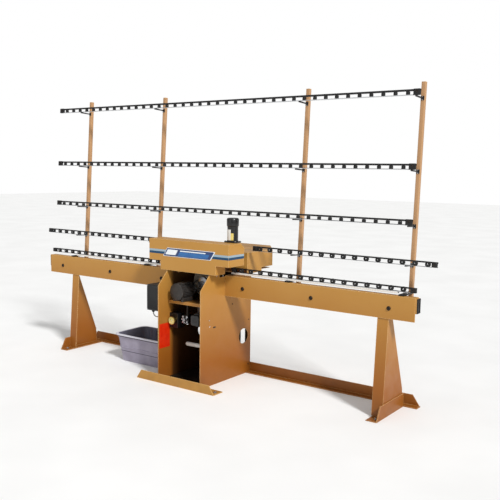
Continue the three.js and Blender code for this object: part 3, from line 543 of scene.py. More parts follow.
def longRailPieces(level, height):
    r = longRail
    barY = (r["width"] - r["bar"]) / 2
    blockY = 2 * barY + r["bar"] - r["endDeep"]
    parts = [barPiece("bar", (r["start"], barY, height - r["barTall"]), (r["length"], r["bar"], r["barTall"]),
                      1)]
    rear = barY + r["bar"] - 2.4
    lip = barPiece("barLip", (r["start"] + 20, rear, height - r["deep"] + r["strip"]),
                   (r["length"] - 40, 2.4, r["strip"]), 0.3)
    parts.append(lip)
    for x in (r["start"], r["start"] + r["length"] - r["end"]):
        block = startBlock("endBlock", (x, blockY, height + r["endRise"] - r["endTall"]),
                           (r["end"], barY + r["bar"] - blockY, r["endTall"]))
        parts.append(roundEdges(block, 3.5, 4))
    for part in parts:
        dress(part, mouldedBlack)
    for x in (r["start"] + r["end"] / 2, r["start"] + r["length"] - r["end"] / 2):
        parts.append(hexBolt("endBolt", (x, blockY + 0.2, height - 12), "Y", 5, 3, darkSteel, 1.5))
    bar = joined(level + "RailBar", parts)
    leanBack(bar)
    settle(bar, "frame", "black_paint", level + "_rail")

    first = r["start"] + (r["length"] - (r["count"] - 1) * r["pitch"]) / 2
    top = height - r["barTall"] - 0.3
    tall = top - (height - r["deep"] + r["strip"]) - 0.3
    radius = r["roller"]
    roller = turned("roller", [
        (0, 0.62 * radius), (0.06 * tall, 0.9 * radius), (0.14 * tall, radius), (0.86 * tall, radius),
        (0.94 * tall, 0.9 * radius), (tall, 0.62 * radius),
    ], (first, r["width"] / 2, top - tall), "Z", 18)
    arrayed(dress(roller, treadBlack), r["count"], (r["pitch"], 0, 0))
    pin = turned("pin", [
        (0, 3.4), (2.2, 3.4), (2.6, 2), (3.4, 2),
    ], (first, r["width"] / 2, height - r["deep"] + r["strip"] - 0.2), "Z", 10)
    arrayed(dress(pin, zincPlate), r["count"], (r["pitch"], 0, 0))
    rollers = joined(level + "RailRollers", [roller, pin])
    leanBack(rollers)
    settle(rollers, "frame", "wheel_tread", level + "_rail_rollers")

    strip = startBlock("strip", (r["start"] + r["end"] + 0.3, 2, height - r["deep"]),
                       (r["length"] - 2 * r["end"] - 0.6, r["width"] - 4, r["strip"]))
    pushedField(strip, (0, 0, 1), 2.4, (0, 0, -1.2))
    roundEdges(dress(strip, stripAluminium), 0.4)
    strip.name = level + "RailStrip"
    leanBack(strip)
    settle(strip, "frame", "rail_strip")


for level, height in longRail["heights"].items():
    longRailPieces(level, height)
print("long rails done")

# lower rails: a back ladder with rubber-tyred wheels on cross pins

wheelRail = {"pitch": 76.2, "radius": 16, "width": 15, "hub": 9.4, "pin": 3.2,
             "end": 34, "back": 6, "bar": 9, "strip": 2.7, "post": 12, "gap": 0.3}


def wheelPlaces(length):
    w = wheelRail
    count = int((length - 2 * (w["end"] + w["radius"])) / w["pitch"]) + 1
    first = (length - (count - 1) * w["pitch"]) / 2
    return first, count


def wheelParts(place, count):
    # tyre, hub and pin of a wheel whose front face is at the place, copied along the rail
    w = wheelRail
    radius, width, hub = w["radius"], w["width"] - 0.3, w["hub"]
    tyre = turned("tyre", [
        (0.4, hub), (0.4, radius - 1.6), (1.6, radius - 0.3), (3.2, radius),
        (width - 3.2, radius), (width - 1.6, radius - 0.3), (width - 0.4, radius - 1.6),
        (width - 0.4, hub), (0.4, hub),
    ], place, "Y", 24, bore=True)
    disc = turned("hub", [
        (1.6, 5), (1.6, hub), (width - 1.6, hub), (width - 1.6, 5), (1.6, 5),
    ], place, "Y", 20, bore=True)
    boss = turned("boss", [
        (0, 4), (0, 5.2), (width, 5.2), (width, 4), (0, 4),
    ], place, "Y", 16, bore=True)
    parts = [dress(tyre, treadBlack), dress(disc, hubBlack), dress(boss, hubBlack)]
    if count > 1:
        for part in parts:
            arrayed(part, count, (w["pitch"], 0, 0))
    return parts


def pinParts(place, count):
    w = wheelRail
    pin = turned("pin", [(-0.1, 2.6), (0.5, w["pin"]), (w["width"] + 2, w["pin"])], place, "Y", 12)
    dress(pin, zincPlate)
    return arrayed(pin, count, (w["pitch"], 0, 0)) if count > 1 else pin


def ladderPieces(name, start, length, y, top, drop, free, rounded, place, body, nodes):
    # free is the index of the wheel that turns on its own, or None
    w = wheelRail
    first, count = wheelPlaces(length)
    bottom = top - 2 * w["radius"]
    backY = y + w["width"] + w["gap"]
    parts = [
        barPiece("upperBar", (start, backY, top - drop - w["bar"]), (length, w["back"], w["bar"]), 0.8),
        barPiece("lowerBar", (start, backY, bottom), (length, w["back"], w["strip"]), 0.4),
    ]
    upright = barPiece("upright", (start + first - w["post"] / 2, backY + 0.2, bottom + 0.5),
                       (w["post"], w["back"] - 0.4, 2 * w["radius"] - drop - 1), 0.6)
    parts.append(arrayed(upright, count, (w["pitch"], 0, 0)))
    for x, soft in ((start, rounded[0]), (start + length - w["end"], rounded[1])):
        block = startBlock("endBlock", (x, y, bottom),
                           (w["end"], backY + w["back"] - y, 2 * w["radius"] - drop))
        parts.append(roundEdges(block, 9 if soft else 3, 5 if soft else 3))
    for part in parts:
        dress(part, mouldedBlack)
    pins = pinParts((start + first, y, top - w["radius"]), count)
    parts.append(pins)
    for x in (start + w["end"] / 2, start + length - w["end"] / 2):
        parts.append(hexBolt("endBolt", (x, y + 0.4, top - w["radius"]), "Y", 5, 0.5, darkSteel, 1.3))
    rail = place(joined(name + "Rail", parts))
    settle(rail, body, "black_paint", nodes[0])

    rowFirst, rowCount = start + first, count
    if free is not None:
        rowCount = count - 1
        rowFirst += w["pitch"] if free == 0 else 0
    wheels = place(joined(name + "Wheels", wheelParts((rowFirst, y, top - w["radius"]), rowCount)))
    settle(wheels, body, "wheel_tread", nodes[1])
    strip = barPiece(name + "Strip", (start + w["end"] + w["gap"], y + 1, bottom),
                     (length - 2 * w["end"] - 2 * w["gap"], w["width"] - 2, 1.6), 0.3)
    settle(place(dress(strip, stripAluminium)), body, "rail_strip")
    return start + first + (0 if free == 0 else (count - 1) * w["pitch"])


lowerRail = {"length": 1253, "left": -1673, "right": 372, "height": 152}
for side, soft in (("left", (False, False)), ("right", (False, True))):
    ladderPieces(side + "Lower", lowerRail[side], lowerRail["length"], 0, lowerRail["height"], 0, None, soft,
                 leanBack, "frame", (f"lower_{side}_rail", f"lower_{side}_rail_wheels"))

tableRail = {"y": -104.5, "top": 777, "drop": 3}
for side in ("left", "right"):
    low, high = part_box(f"table_{side}_rail")
    low, high = low / mm, high / mm
    freeIndex = 0 if side == "right" else -1
    freeX = ladderPieces(side + "Table", low.x, high.x - low.x, tableRail["y"], tableRail["top"],
                         tableRail["drop"], freeIndex, (False, False), lambda piece: piece, "frame",
                         (f"table_{side}_rail", f"table_{side}_rail_wheels"))
    freeWheel = joined(side + "FreeWheel", wheelParts(
        (freeX, tableRail["y"], tableRail["top"] - wheelRail["radius"]), 1))
    settle(freeWheel, "table_wheel_" + side, "wheel_tread", "table_wheel_" + side)
print("lower and table rails done")

# posts: square tubes with black arms to the rails and the beam

post = {"xs": [-1338, -552, 668, 1438], "size": 25, "setback": 100, "top": 1172,
        "bottom": -127, "wall": 2, "corner": 2.5, "arm": 10, "armTall": 8, "armFront": 3, "hollow": 400}


def postPieces(index, x):
    p = post
    half = p["size"] / 2
    tube = startBlock("postTube", (x - half, p["setback"], p["bottom"]),
                      (p["size"], p["size"], p["top"] - p["bottom"]))
    bevelCorners(tube, "z", p["corner"], 3)
    pushedField(tube, (0, 0, 1), p["wall"], (0, 0, -p["hollow"]))
    roundEdges(tube, 0.5, 1)
    tube.name = f"postTube{index + 1}"
    leanBack(dress(tube, postEnamel))
    settle(tube, "frame", "tan_paint", f"post_{index + 1}")

    arms = []
    heights = [*longRail["heights"].values(), lowerRail["height"]]
    for level, height in enumerate(heights):
        deep = longRail["deep"] if level < 3 else 2 * wheelRail["radius"]
        z = height - deep - 0.3 - p["armTall"]
        arm = barPiece("arm", (x - p["arm"] / 2, p["armFront"], z),
                       (p["arm"], p["setback"] - p["armFront"], p["armTall"]), 0.8)
        plate = barPiece("armPlate", (x - 10, p["setback"] - 3, z - 8), (20, 3, 24), 0.8)
        arms += [dress(arm, barBlack), dress(plate, barBlack)]
        for rise in (-4.5, 12.5):
            arms.append(hexBolt("armBolt", (x, p["setback"] - 3, z + rise), "Y", 2.4, 1.8, zincPlate, 1.2))
    upper = leanBack(joined(f"postArms{index + 1}", arms))
    settle(upper, "frame", "black_paint")


for index, x in enumerate(post["xs"]):
    postPieces(index, x)

baseArm = {"upperFront": -120, "lowerFront": -78, "upperZ": 723.4, "lowerZ": 652,
           "width": 34, "thick": 9, "rear": 20}


def baseArms(index, x):
    b = baseArm
    parts = []
    for front, z in ((b["upperFront"], b["upperZ"]), (b["lowerFront"], b["lowerZ"])):
        depth = b["rear"] - front - 6 * (z < b["upperZ"])
        flat = barPiece("flat", (x - b["width"] / 2, front, z), (b["width"], depth, b["thick"]), 1.2)
        parts.append(dress(flat, barBlack))
    for dx in (-9, 9):
        parts.append(hexBolt("armBolt", (x + dx, -60, b["upperZ"] + b["thick"]), "Z", 4.5, -4, zincPlate,
                             1.5))
    settle(joined(f"postBase{index + 1}", parts), "frame", "black_paint")


for index, x in enumerate(post["xs"]):
    baseArms(index, x + rack["place"][0])
print("posts done")

# beams: end plugs and the bolts through the front face

beamPlug = {"proud": 5.6, "corner": 3, "border": 6, "sink": 2}
for side in ("left", "right"):
    low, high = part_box(f"{side}_beam_cap")
    low, high = low / mm, high / mm
    outerLow = low.x if side == "left" else high.x - beamPlug["proud"]
    plug = barPiece(side + "BeamPlug", (outerLow, low.y, low.z),
                    (beamPlug["proud"], high.y - low.y, high.z - low.z),
                    beamPlug["corner"], 3)
    outward = -1 if side == "left" else 1
    pushedField(plug, (outward, 0, 0), beamPlug["border"], (-outward * beamPlug["sink"], 0, 0))
    settle(dress(plug, mouldedBlack), "frame", "black_plastic", f"{side}_beam_cap")

beamBolt = {"xs": [-1421, -886, -365, 354, 874, 1392], "z": 646, "radius": 13,
            "front": -128.5}
bolts = []
for x in beamBolt["xs"]:
    radius = beamBolt["radius"]
    bolts.append(dress(turned("beamBolt", [
        (0, radius), (-1.5, radius), (-5, 0.82 * radius), (-6, 0.7 * radius),
        (-6, 0.42 * radius), (-2.5, 0.4 * radius),
    ], (x, beamBolt["front"], beamBolt["z"]), "Y", 24), darkSteel))
settle(joined("beamBolts", bolts), "frame", "bright_steel")
print("beams done")

# screws, slots and bolt heads on the cabinet

cabinetScrews = {"face": 209,
                 "bright": [(-215.5, 728, 5.5), (-149.5, 723, 5.5), (-292.5, 442, 4), (-287.5, 401, 4)],
                 "dark": [(-42.5, 517, 5), (150, 60, 5), (150, 380, 5)], "slot": (-238, 389, 26, 9)}
heads = []
for finish, group in ((zincPlate, "bright"), (darkSteel, "dark")):
    for y, z, radius in cabinetScrews[group]:
        heads.append(dress(turned("screw", [
            (0, radius), (1.2, radius), (2.6, 0.72 * radius), (2.6, 0.36 * radius),
            (1.4, 0.32 * radius),
        ], (cabinetScrews["face"], y, z), "X", 16), finish))
slotY, slotZ, slotLong, slotTall = cabinetScrews["slot"]
latch = barPiece("latch", (cabinetScrews["face"], (slotY - slotLong / 2), (slotZ - slotTall / 2)),
                 (1.2, slotLong, slotTall), 0.5)
heads.append(dress(latch, boxBlack))
settle(joined("panelScrews", heads), "frame", "bright_steel")

# a dark plate lying on the floor inside the cabinet
cabinetFloor = {"low": (-154, -300, 0.5), "size": (356, 388, 2.5), "lip": 12}
cabinetFloorPlate = startBlock("cabinetFloorPlate", cabinetFloor["low"], cabinetFloor["size"])
pushedField(cabinetFloorPlate, (0, 0, 1), cabinetFloor["lip"], (0, 0, -1))
settle(dress(roundEdges(cabinetFloorPlate, 0.5), cabinetFloorDark), "frame", "dark_paint")

anchorBolt = {"toe": [(-286, -384.5), (334, -384.5)], "feet": [(-1289, -203.5), (1369, -203.5)], "floor": 6}
anchors = []
for x, y in anchorBolt["toe"] + anchorBolt["feet"]:
    anchors.append(hexBolt("anchor", (x, y, anchorBolt["floor"]), "Z", 8.5, -9, zincPlate, 1.6))
settle(joined("floorAnchors", anchors), "frame", "bright_steel")

caution = {"low": (-156, -373.5, 212), "size": (0.7, 105, 168)}
label = barPiece("cautionLabel", caution["low"], caution["size"], 0.25, 1)
settle(dress(label, labelRed), "frame", "stop_red")
print("cabinet details done")

# slanted plate on the hood's front

badge = {"front": -298.5, "left": -191, "right": 221, "bottom": 838, "top": 896,
         "slant": 38, "thick": 1.2}


def slantedPlate(name, left, right, bottom, top, layer, finish):
    b = badge
    depth = b["thick"] * 0.5
    front = b["front"] - b["thick"] - depth * layer
    thick = b["thick"] if layer == 0 else depth
    plate = startBlock(name, (left, front, bottom), (right - left, thick, top - bottom))
    editFaces(plate, lambda centre, normal: normal.z > 0.9)
    slide = b["slant"] * (top - bottom) / (b["top"] - b["bottom"])
    bpy.ops.transform.translate(value=(slide * mm, 0, 0))
    leaveEdit()
    bevelCorners(plate, "y", min(6, 0.24 * (top - bottom)), 4)
    return dress(roundEdges(plate, 0.2, 1), finish)


def badgePieces():
    b = badge
    rim = slantedPlate("rim", b["left"], b["right"], b["bottom"], b["top"], 0, badgeWhite)
    inner = slantedPlate("field", b["left"] + 5, b["right"] - 5, b["bottom"] + 3, b["top"] - 3, 1, badgeNavy)
    field = slantedPlate("fieldRight", b["left"] + 130, b["right"] - 26, b["bottom"] + 7, b["bottom"] + 36,
                         2, badgeBlue)
    emblem = slantedPlate("emblem", b["left"] + 22, b["left"] + 112, b["bottom"] + 12, b["top"] - 11,
                          3, badgeWhite)
    line = slantedPlate("line", b["left"] + 150, b["right"] - 44, b["top"] - 19, b["top"] - 12, 2, badgeWhite)
    settle(joined("hoodBadge", [rim, inner, field, emblem, line]), "frame", "white_plastic")


badgePieces()
print("badge done")

# feed motor on the hood, and the rubber wheel that it drives

feed = {"x": 284, "y": -148.5, "base": 950.3, "flange": (98, 74, 8), "radius": 36,
        "capRadius": 40, "capTop": 150,
        "neck": 30, "neckLong": 45, "ribs": 24, "rib": (2, 2, 36), "ribBase": 106, "bolts": (40, 27),
        "bodyRings": [(-1, 38), (5, 38), (6, 36), (78, 36), (79, 34.5), (82, 34.5), (83, 36), (97, 36),
                      (97.5, 37),
                      (101, 39.5), (103, 40), (145, 40), (150, 37), (152.6, 31)],
        "white": (-135, -75, 16, 86), "yellow": (-74, -45, 16, 62),  # from and to degrees, low and high
        "wheel": 48, "wheelTop": 870, "wheelTall": 34, "shaft": 8, "shaftLong": 68,
        "grooves": 4, "groovePitch": 7}


def curvedLabel(name, start, end, low, high, finish):
    # a thin patch round the motor body between two angles and two heights above its base
    f = feed
    clearSelection()
    bpy.ops.mesh.primitive_cylinder_add(vertices=72, radius=(f["radius"] + 0.25) * mm,
                                        depth=(high - low) * mm,
                                        end_fill_type="NOTHING")
    patch = placeAt(bpy.context.object, (f["x"], f["y"], f["base"] + (low + high) / 2))
    patch.name = name

    def outside(centre, normal):
        angle = math.degrees(math.atan2(centre.y - f["y"] * mm, centre.x - f["x"] * mm))
        return not start < angle < end

    editFaces(patch, outside)
    bpy.ops.mesh.delete(type="FACE")
    leaveEdit()
    thick = patch.modifiers.new("Solidify", "SOLIDIFY")
    thick.thickness = 0.4 * mm
    thick.offset = 1
    applyModifier(patch, thick)
    return dress(patch, finish)


def feedPieces():
    f = feed
    width, depth, thick = f["flange"]
    flange = startBlock("flange", (f["x"] - width / 2, f["y"] - depth / 2, f["base"]), (width, depth, thick))
    bevelCorners(flange, "z", 14, 5)
    parts = [roundEdges(flange, 1.2)]
    top = f["base"] + thick
    parts.append(turned("body", f["bodyRings"], (f["x"], f["y"], top), "Z", 48))
    for turn in range(f["ribs"]):
        angle = math.tau * turn / f["ribs"]
        reach = f["capRadius"] - 1.2
        rib = barPiece("rib", (-1.2, -1, 0), f["rib"], 0.5, 1)
        place = (f["x"] + reach * math.cos(angle), f["y"] + reach * math.sin(angle), top + f["ribBase"])
        parts.append(placeAt(rib, place, (0, 0, angle)))
    parts.append(turned("neck",
                        [(-f["neckLong"], f["neck"] - 1), (1 - f["neckLong"], f["neck"]), (0, f["neck"])],
                        (f["x"], f["y"], f["base"]), "Z", 32))
    for part in parts:
        dress(part, motorBlack)
    across, along = f["bolts"]
    for dx, dy in ((-across, -along), (-across, along), (across, -along), (across, along)):
        parts.append(hexBolt("flangeBolt", (f["x"] + dx, f["y"] + dy, top), "Z", 4, -4, zincPlate, 1.5))
    parts.append(dress(turned("capStud", [(0, 6), (2.2, 6), (3, 4)],
                              (f["x"], f["y"], top + f["capTop"]), "Z", 6), zincPlate))
    settle(joined("feedMotor", parts), "frame", "black_paint", "feed_motor")
    labels = [curvedLabel("white", *f["white"], labelWhite), curvedLabel("yellow", *f["yellow"], labelYellow)]
    settle(joined("feedMotorLabels", labels), "frame", "white_plastic")

    wheel = f["wheel"]
    rings = [(0, 20), (0, wheel - 4), (2, wheel - 1)]
    for groove in range(f["grooves"]):
        z = 3 + groove * f["groovePitch"]
        rings += [(z, wheel), (z + 5, wheel), (z + 5.6, wheel - 1.4), (z + 6.6, wheel - 1.4)]
    rings += [(31, wheel), (33, wheel - 1), (34, wheel - 4), (34, 20)]
    tyre = turned("feedTyre", rings, (f["x"], f["y"], f["wheelTop"] - f["wheelTall"]), "Z", 48)
    shaft = turned("feedShaft", [(-3.6, f["shaft"] - 1), (-2.6, f["shaft"]), (f["shaftLong"], f["shaft"])],
                   (f["x"], f["y"], f["wheelTop"] - f["wheelTall"]), "Z", 24)
    hub = turned("feedHub", [(34, 17), (42, 17), (43, 16)],
                 (f["x"], f["y"], f["wheelTop"] - f["wheelTall"]), "Z", 32)
    parts = [dress(tyre, treadBlack), dress(shaft, turnedSteel), dress(hub, turnedSteel)]
    settle(joined("feedWheel", parts), "feed_wheel", "wheel_tread", "feed_wheel")


feedPieces()
print("feed unit done")

# grinding drive inside the cabinet

drive = {"motor": (-63, -313.5, 603), "radius": 55, "shelf": 535.4, "fins": 30, "fin": (6, 116, 1.8),
         "shellRings": [(0, 20), (0, 46), (3, 52), (6, 57.6), (14, 57.6), (15, 50), (131, 50), (132, 54.6),
                        (138, 54.6),
                        (146, 48), (149.6, 34), (149.6, 22)],
         "bearingRings": [(0, 14), (0, 30), (2, 36), (4, 38), (40, 38), (42, 34), (58, 34), (60, 38),
                          (96, 38), (98, 36),
                          (100, 30), (100, 14), (0, 14)],
         "spindle": (35, 0, 656), "grindRadius": 112, "grindFront": -110.5, "grindWidth": 28,
         "pulleyFront": -155.5, "motorPulley": 28, "spindlePulley": 34}


def pulleyRings(radius, shaft, front, rear):
    d = drive
    start = d["pulleyFront"]
    rim = radius + 7
    rings = [(front, shaft - 1), (front + 1, shaft), (start, shaft), (start, rim - 1), (start + 0.6, rim),
             (start + 2.4, rim),
             (start + 3, rim - 1), (start + 3.4, radius), (start + 18.6, radius), (start + 19, rim - 1),
             (start + 19.6, rim), (start + 21.4, rim), (start + 22, rim - 1), (start + 22, shaft + 4),
             (start + 22.1, shaft), (rear - 1, shaft), (rear, shaft - 1)]
    return rings


def motorPieces():
    d = drive
    x, front, z = d["motor"]
    radius = d["radius"]
    shell = turned("motorShell", d["shellRings"], (x, front, z), "Y", 48)
    parts = [dress(shell, motorGrey)]
    for turn in range(d["fins"]):
        angle = math.tau * turn / d["fins"]
        fin = barPiece("fin", (0, 15, -0.9), d["fin"], 0.4, 1)
        reach = radius - 6.2
        placeAt(fin, (x + reach * math.cos(angle), front, z + reach * math.sin(angle)), (0, -angle, 0))
        parts.append(dress(fin, motorGrey))
    for dx in (-34, 34):
        foot = barPiece("foot", (x + (dx - 9), front + 22, d["shelf"]), (18, 106, 26), 2)
        parts.append(dress(foot, motorGrey))
        for dy in (34, 116):
            parts.append(hexBolt("footBolt", (x + dx, front + dy, (d["shelf"] + 26)), "Z",
                                 4, -3, zincPlate, 1.4))
    box = barPiece("terminalBox", (x - 26, front + 44, z + 46), (52, 60, 11), 2)
    parts.append(dress(box, motorGrey))
    settle(joined("mainMotor", parts), "frame", "motor_paint", "main_motor", smooth=30)
    pulley = turned("motorPulley", pulleyRings(d["motorPulley"], 9, -163.2, -129.6), (x, 0, z), "Y", 40)
    settle(dress(pulley, turnedSteel), "motor_shaft", "bright_steel", "motor_pulley")


def spindlePieces():
    d = drive
    x, _, z = d["spindle"]
    spindle = turned("spindleShaft", pulleyRings(d["spindlePulley"], 12, -163.4, 39.4), (x, 0, z), "Y", 40)
    nut = turned("spindleNut", [(-8, 19), (-7, 21), (0, 21)],
                 (x, d["grindFront"] - 1, z), "Y", 6)
    flange = turned("spindleFlange", [(-1, 40), (0, 42), (0.9, 42)],
                    (x, d["grindFront"] - 1, z), "Y", 40)
    settle(joined("grindingSpindle", [dress(part, turnedSteel) for part in (spindle, nut, flange)]),
           "spindle", "bright_steel", "spindle")
    outer, width = d["grindRadius"], d["grindWidth"]
    cup = turned("grindingCup", [
        (0, 13), (0, 62), (3, 66), (3, 84), (0, 88), (0, outer - 2), (2, outer),
        (width - 2, outer), (width, outer - 2), (width, 13), (0, 13),
    ], (x, d["grindFront"], z), "Y", 64, bore=True)
    settle(dress(cup, gritStone), "spindle", "wheel_grit", "grinding_wheel")

    bearing = turned("bearingShell", d["bearingRings"], (x, -68.5, z), "Y", 40, bore=True)
    foot = barPiece("bearingFoot", (x - 51, -68.3, d["shelf"]), (102, 99.6, 14), 3, 3)
    web = startBlock("bearingWeb", (x - 26, -58, (d["shelf"] + 12)), (52, 80, 74))
    editFaces(web, lambda centre, normal: normal.z > 0.9)
    bpy.ops.transform.resize(value=(0.7, 1, 1), center_override=(x * mm, 0, 0))
    leaveEdit()
    parts = [dress(part, motorGrey) for part in (bearing, foot, roundEdges(web, 2))]
    for dx in (-40, 40):
        for y in (-54, 17):
            parts.append(hexBolt("bearingBolt", (x + dx, y, (d["shelf"] + 14)), "Z", 5, -5,
                                 zincPlate, 1.5))
    settle(joined("spindleBearing", parts), "frame", "bright_steel", "spindle_bearing")


def beltPiece():
    # the belt follows its own outline, with rounded edges
    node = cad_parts["drive_belt"]
    activate(node)
    bpy.ops.object.duplicate(linked=False)
    belt = bpy.context.object
    for key in list(belt.keys()):
        del belt[key]
    belt.parent = None
    belt.name = "driveBelt"
    bpy.ops.object.mode_set(mode="EDIT")
    bpy.ops.mesh.select_all(action="SELECT")
    bpy.ops.mesh.remove_doubles(threshold=1e-5)
    leaveEdit()
    roundEdges(belt, 0.8, 2, 50)
    settle(dress(belt, beltBlack), "frame", "belt_rubber", "drive_belt")


motorPieces()
spindlePieces()
beltPiece()
print("grinding drive done")

# control box, its door, buttons and lead

control = {"low": (-316.3, -318.5, 455), "size": (155, 140, 178), "wall": 3, "lid": 6, "lidFront": -324.8,
           "buttonX": -193, "bore": 7.4, "start": 590, "stop": 545}


def controlPieces():
    c = control
    low, size = Vector(c["low"]), Vector(c["size"])
    box = startBlock("controlBox", low, size)
    pushedField(box, (0, -1, 0), c["wall"], (0, size.y - c["wall"], 0))
    parts = [dress(roundEdges(box, 0.9), boxBlack)]
    gland = turned("gland", [(0, 13), (-5, 13), (-6, 10), (-15, 8.6), (-16, 6)],
                   (-281, -298.5, c["low"][2]), "Z", 24)
    parts.append(dress(gland, mouldedBlack))
    settle(joined("controlBoxShell", parts), "frame", "black_paint", "control_box")

    lid = startBlock("controlLid", (low.x, c["lidFront"], low.z), (size.x, c["lid"], size.z))
    pushedField(lid, (0, -1, 0), 9, (0, 1.2, 0))
    parts = [dress(roundEdges(lid, 0.8), boxBlack)]
    for z in (c["start"], c["stop"]):
        bore = turned("bore", [(-2, c["bore"]), ((c["lid"] + 2), c["bore"])],
                      (c["buttonX"], c["lidFront"], z), "Y", 32)
        hole = lid.modifiers.new("Hole", "BOOLEAN")
        hole.operation = "DIFFERENCE"
        hole.object = bore
        applyModifier(lid, hole)
        bpy.data.objects.remove(bore)
        collar = turned("collar", [
            (0, 11.6), (0, 16), (-1.5, 16), (-3, 14.6), (-3, 11.6), (0, 11.6),
        ], (c["buttonX"], (c["lidFront"] + 1.2), z), "Y", 32, bore=True)
        parts.append(dress(collar, turnedSteel))
    for dx, dz in ((6, 6), (149, 6), (6, 172), (149, 172)):
        parts.append(dress(turned("lidScrew", [(0, 3.2), (-1.4, 2.8), (-1.8, 1.8)],
                                  (low.x + dx, c["lidFront"], low.z + dz), "Y", 14), zincPlate))
    knuckle = turned("hinge", [(0, 2.6), (158, 2.6)], (low.x + 2.7, c["lidFront"] + 3,
                                                                     low.z + 10), "Z", 14)
    parts.append(dress(knuckle, boxBlack))
    settle(joined("controlBoxLid", parts), "box_lid", "black_paint", "control_box_lid")

    for name, z, finish, slot in (("start", c["start"], startGreen, "start_green"),
                                  ("stop", c["stop"], stopRed, "stop_red")):
        button = turned(name + "Button", [
            (-9.3, 6), (-9.1, 9.5), (-8.2, 10.8), (-3.4, 11), (-3.4, 6.8),
            (5.8, 6.8),
        ], (c["buttonX"], c["lidFront"], z), "Y", 40)
        settle(dress(button, finish), name + "_button", slot, name + "_button")


lead = {"gland": (-281, -298.5, 439), "bend": 29, "panel": -162, "thick": 7.4, "length": 135.8,
        "rises": (0, -0.2, -0.3, -0.2, 0.2, 0.9, 1.8, 2.9)}


def leadRoute():
    # straight down from the gland, round one bend and level to the side panel
    x, y, z = lead["gland"]
    bend, rises = lead["bend"], lead["rises"]
    turns = [math.radians(15 * step) for step in range(7)]
    route = [(x + bend * (1 - math.cos(turn)), y, z - bend * math.sin(turn)) for turn in turns]
    step = (lead["panel"] - x - bend) / len(rises)
    route += [(x + bend + step * (index + 1), y, z - bend + rise) for index, rise in enumerate(rises)]
    return [Vector(point) * mm for point in route]


def leadPiece():
    curve = bpy.data.curves.new("controlLead", "CURVE")
    curve.dimensions = "3D"
    spline = curve.splines.new("BEZIER")
    route = leadRoute()
    spline.bezier_points.add(len(route) - 1)
    for knot, place in zip(spline.bezier_points, route):
        knot.co = place
        knot.handle_left_type = knot.handle_right_type = "AUTO"
    curve.bevel_depth = lead["thick"] / 2 * mm
    curve.bevel_resolution = 5
    curve.resolution_u = 8
    curve.use_fill_caps = True
    piece = bpy.data.objects.new("controlLead", curve)
    bpy.context.scene.collection.objects.link(piece)
    piece.data.materials.append(leadGrey)
    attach(piece, "frame")
    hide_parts("control_cable")


controlPieces()
leadPiece()
print("control box done")

# coolant tub

tub = {"centre": (-487, -38.5), "halfLong": 276, "halfWide": 154, "corner": 45, "tall": 203, "rimTall": 10,
       "wall": 4, "taper": 0.87, "ribs": 9, "ribPitch": 48, "ribSide": 140.5,
       "rib": (3, 6, 66), "ribBase": 120,
       "gripSide": 277, "grip": (14, 96, 15), "gripBase": 178,
       # height and how far out from the tapered wall
       "outside": [(0, -4), (1.2, -1.4), (4, 0), (99, 0), (101, 2.6), (106, 3.4), (109, 3.4), (111, 0.6),
                   (177, 0.6),
                   (179, 4), (192, 4.6), (193, 12.5), (194, 13.8), (201, 14), (202.6, 12.8), (203, 11)],
       "hollow": [(203, 2), (202, 0.4), (199, 0), (12, 0), (6, -4), (4.4, -10)]}


def tubRing(z, out=0.0, inside=False):
    t = tub
    scale = t["taper"] + (1 - t["taper"]) * z / t["tall"]
    inset = t["wall"] if inside else 0
    return (z, ((t["halfLong"] - inset) * scale + out), ((t["halfWide"] - inset) * scale + out))


def tubPiece():
    t = tub
    clearSelection()
    bpy.ops.mesh.primitive_plane_add(size=2, location=(0, 0, 0))
    piece = bpy.context.object
    piece.name = "coolantTub"
    _, longHalf, wideHalf = tubRing(*t["outside"][0])
    piece.scale = (longHalf * mm, wideHalf * mm, 1)
    applyPlace(piece)
    bpy.ops.object.mode_set(mode="EDIT")
    bpy.ops.mesh.select_all(action="SELECT")
    bpy.ops.mesh.bevel(offset=t["corner"] * t["taper"] * mm, segments=8, affect="VERTICES")
    bpy.ops.mesh.select_mode(type="FACE")
    bpy.ops.mesh.select_all(action="SELECT")
    raiseRings([tubRing(*ring) for ring in t["outside"]] + [tubRing(*ring, True) for ring in t["hollow"]])
    bpy.ops.mesh.select_all(action="SELECT")
    bpy.ops.mesh.normals_make_consistent(inside=False)
    leaveEdit()
    cx, cy = t["centre"]
    placeAt(piece, (cx, cy, 0))
    dress(piece, toteGrey)
    piece.data.materials.append(toteShadedInside)
    # inward faces and the floor take the darker inside finish, which is painted shade
    for face in piece.data.polygons:
        outward = (face.center.x - cx * mm) * face.normal.x + (face.center.y - cy * mm) * face.normal.y
        floor = face.normal.z > 0.9 and face.center.z < t["rimTall"] * mm
        face.material_index = 1 if floor or outward < -0.001 else 0
    parts = [piece]
    wide, deep, _ = t["rib"]
    long, broad, _ = t["grip"]
    for side in (-1, 1):
        for index in range(t["ribs"]):
            x = cx + (index - (t["ribs"] - 1) / 2) * t["ribPitch"]
            rib = barPiece("rib", (x - wide / 2, cy + side * t["ribSide"] - deep / 2, t["ribBase"]), t["rib"],
                           0.6, 1)
            parts.append(dress(rib, toteGrey))
    for side in (-1, 1):
        grip = barPiece("grip", (cx + side * t["gripSide"] - long / 2, cy - broad / 2, t["gripBase"]),
                        t["grip"], 4, 3)
        parts.append(dress(grip, toteGrey))
    settle(joined("coolantTub", parts), "tub", "tub_plastic", "coolant_tub")


tubPiece()
print("tub done")

# coolant side: gauge, valve, pump and drain pipe

coolant = {"gauge": (-123, -290.5, 397), "gaugeRadius": 28, "valve": (-36, -250.5, 410), "valveSize": 56,
           "box": (-155.7, -270.2, 347), "boxSize": (74, 70, 100),
           "pump": (66, -244.5, 418), "pumpRadius": 48,
           "fittings": [(-20, 2, 7, 5), (3, -20, 6, 6), (16, -22, 5, 4), (20, 10, 5, 5)],
           "pipe": (-178.5, 225), "pipeEnd": -84, "pipeRadius": 14, "shelf": 529.5}


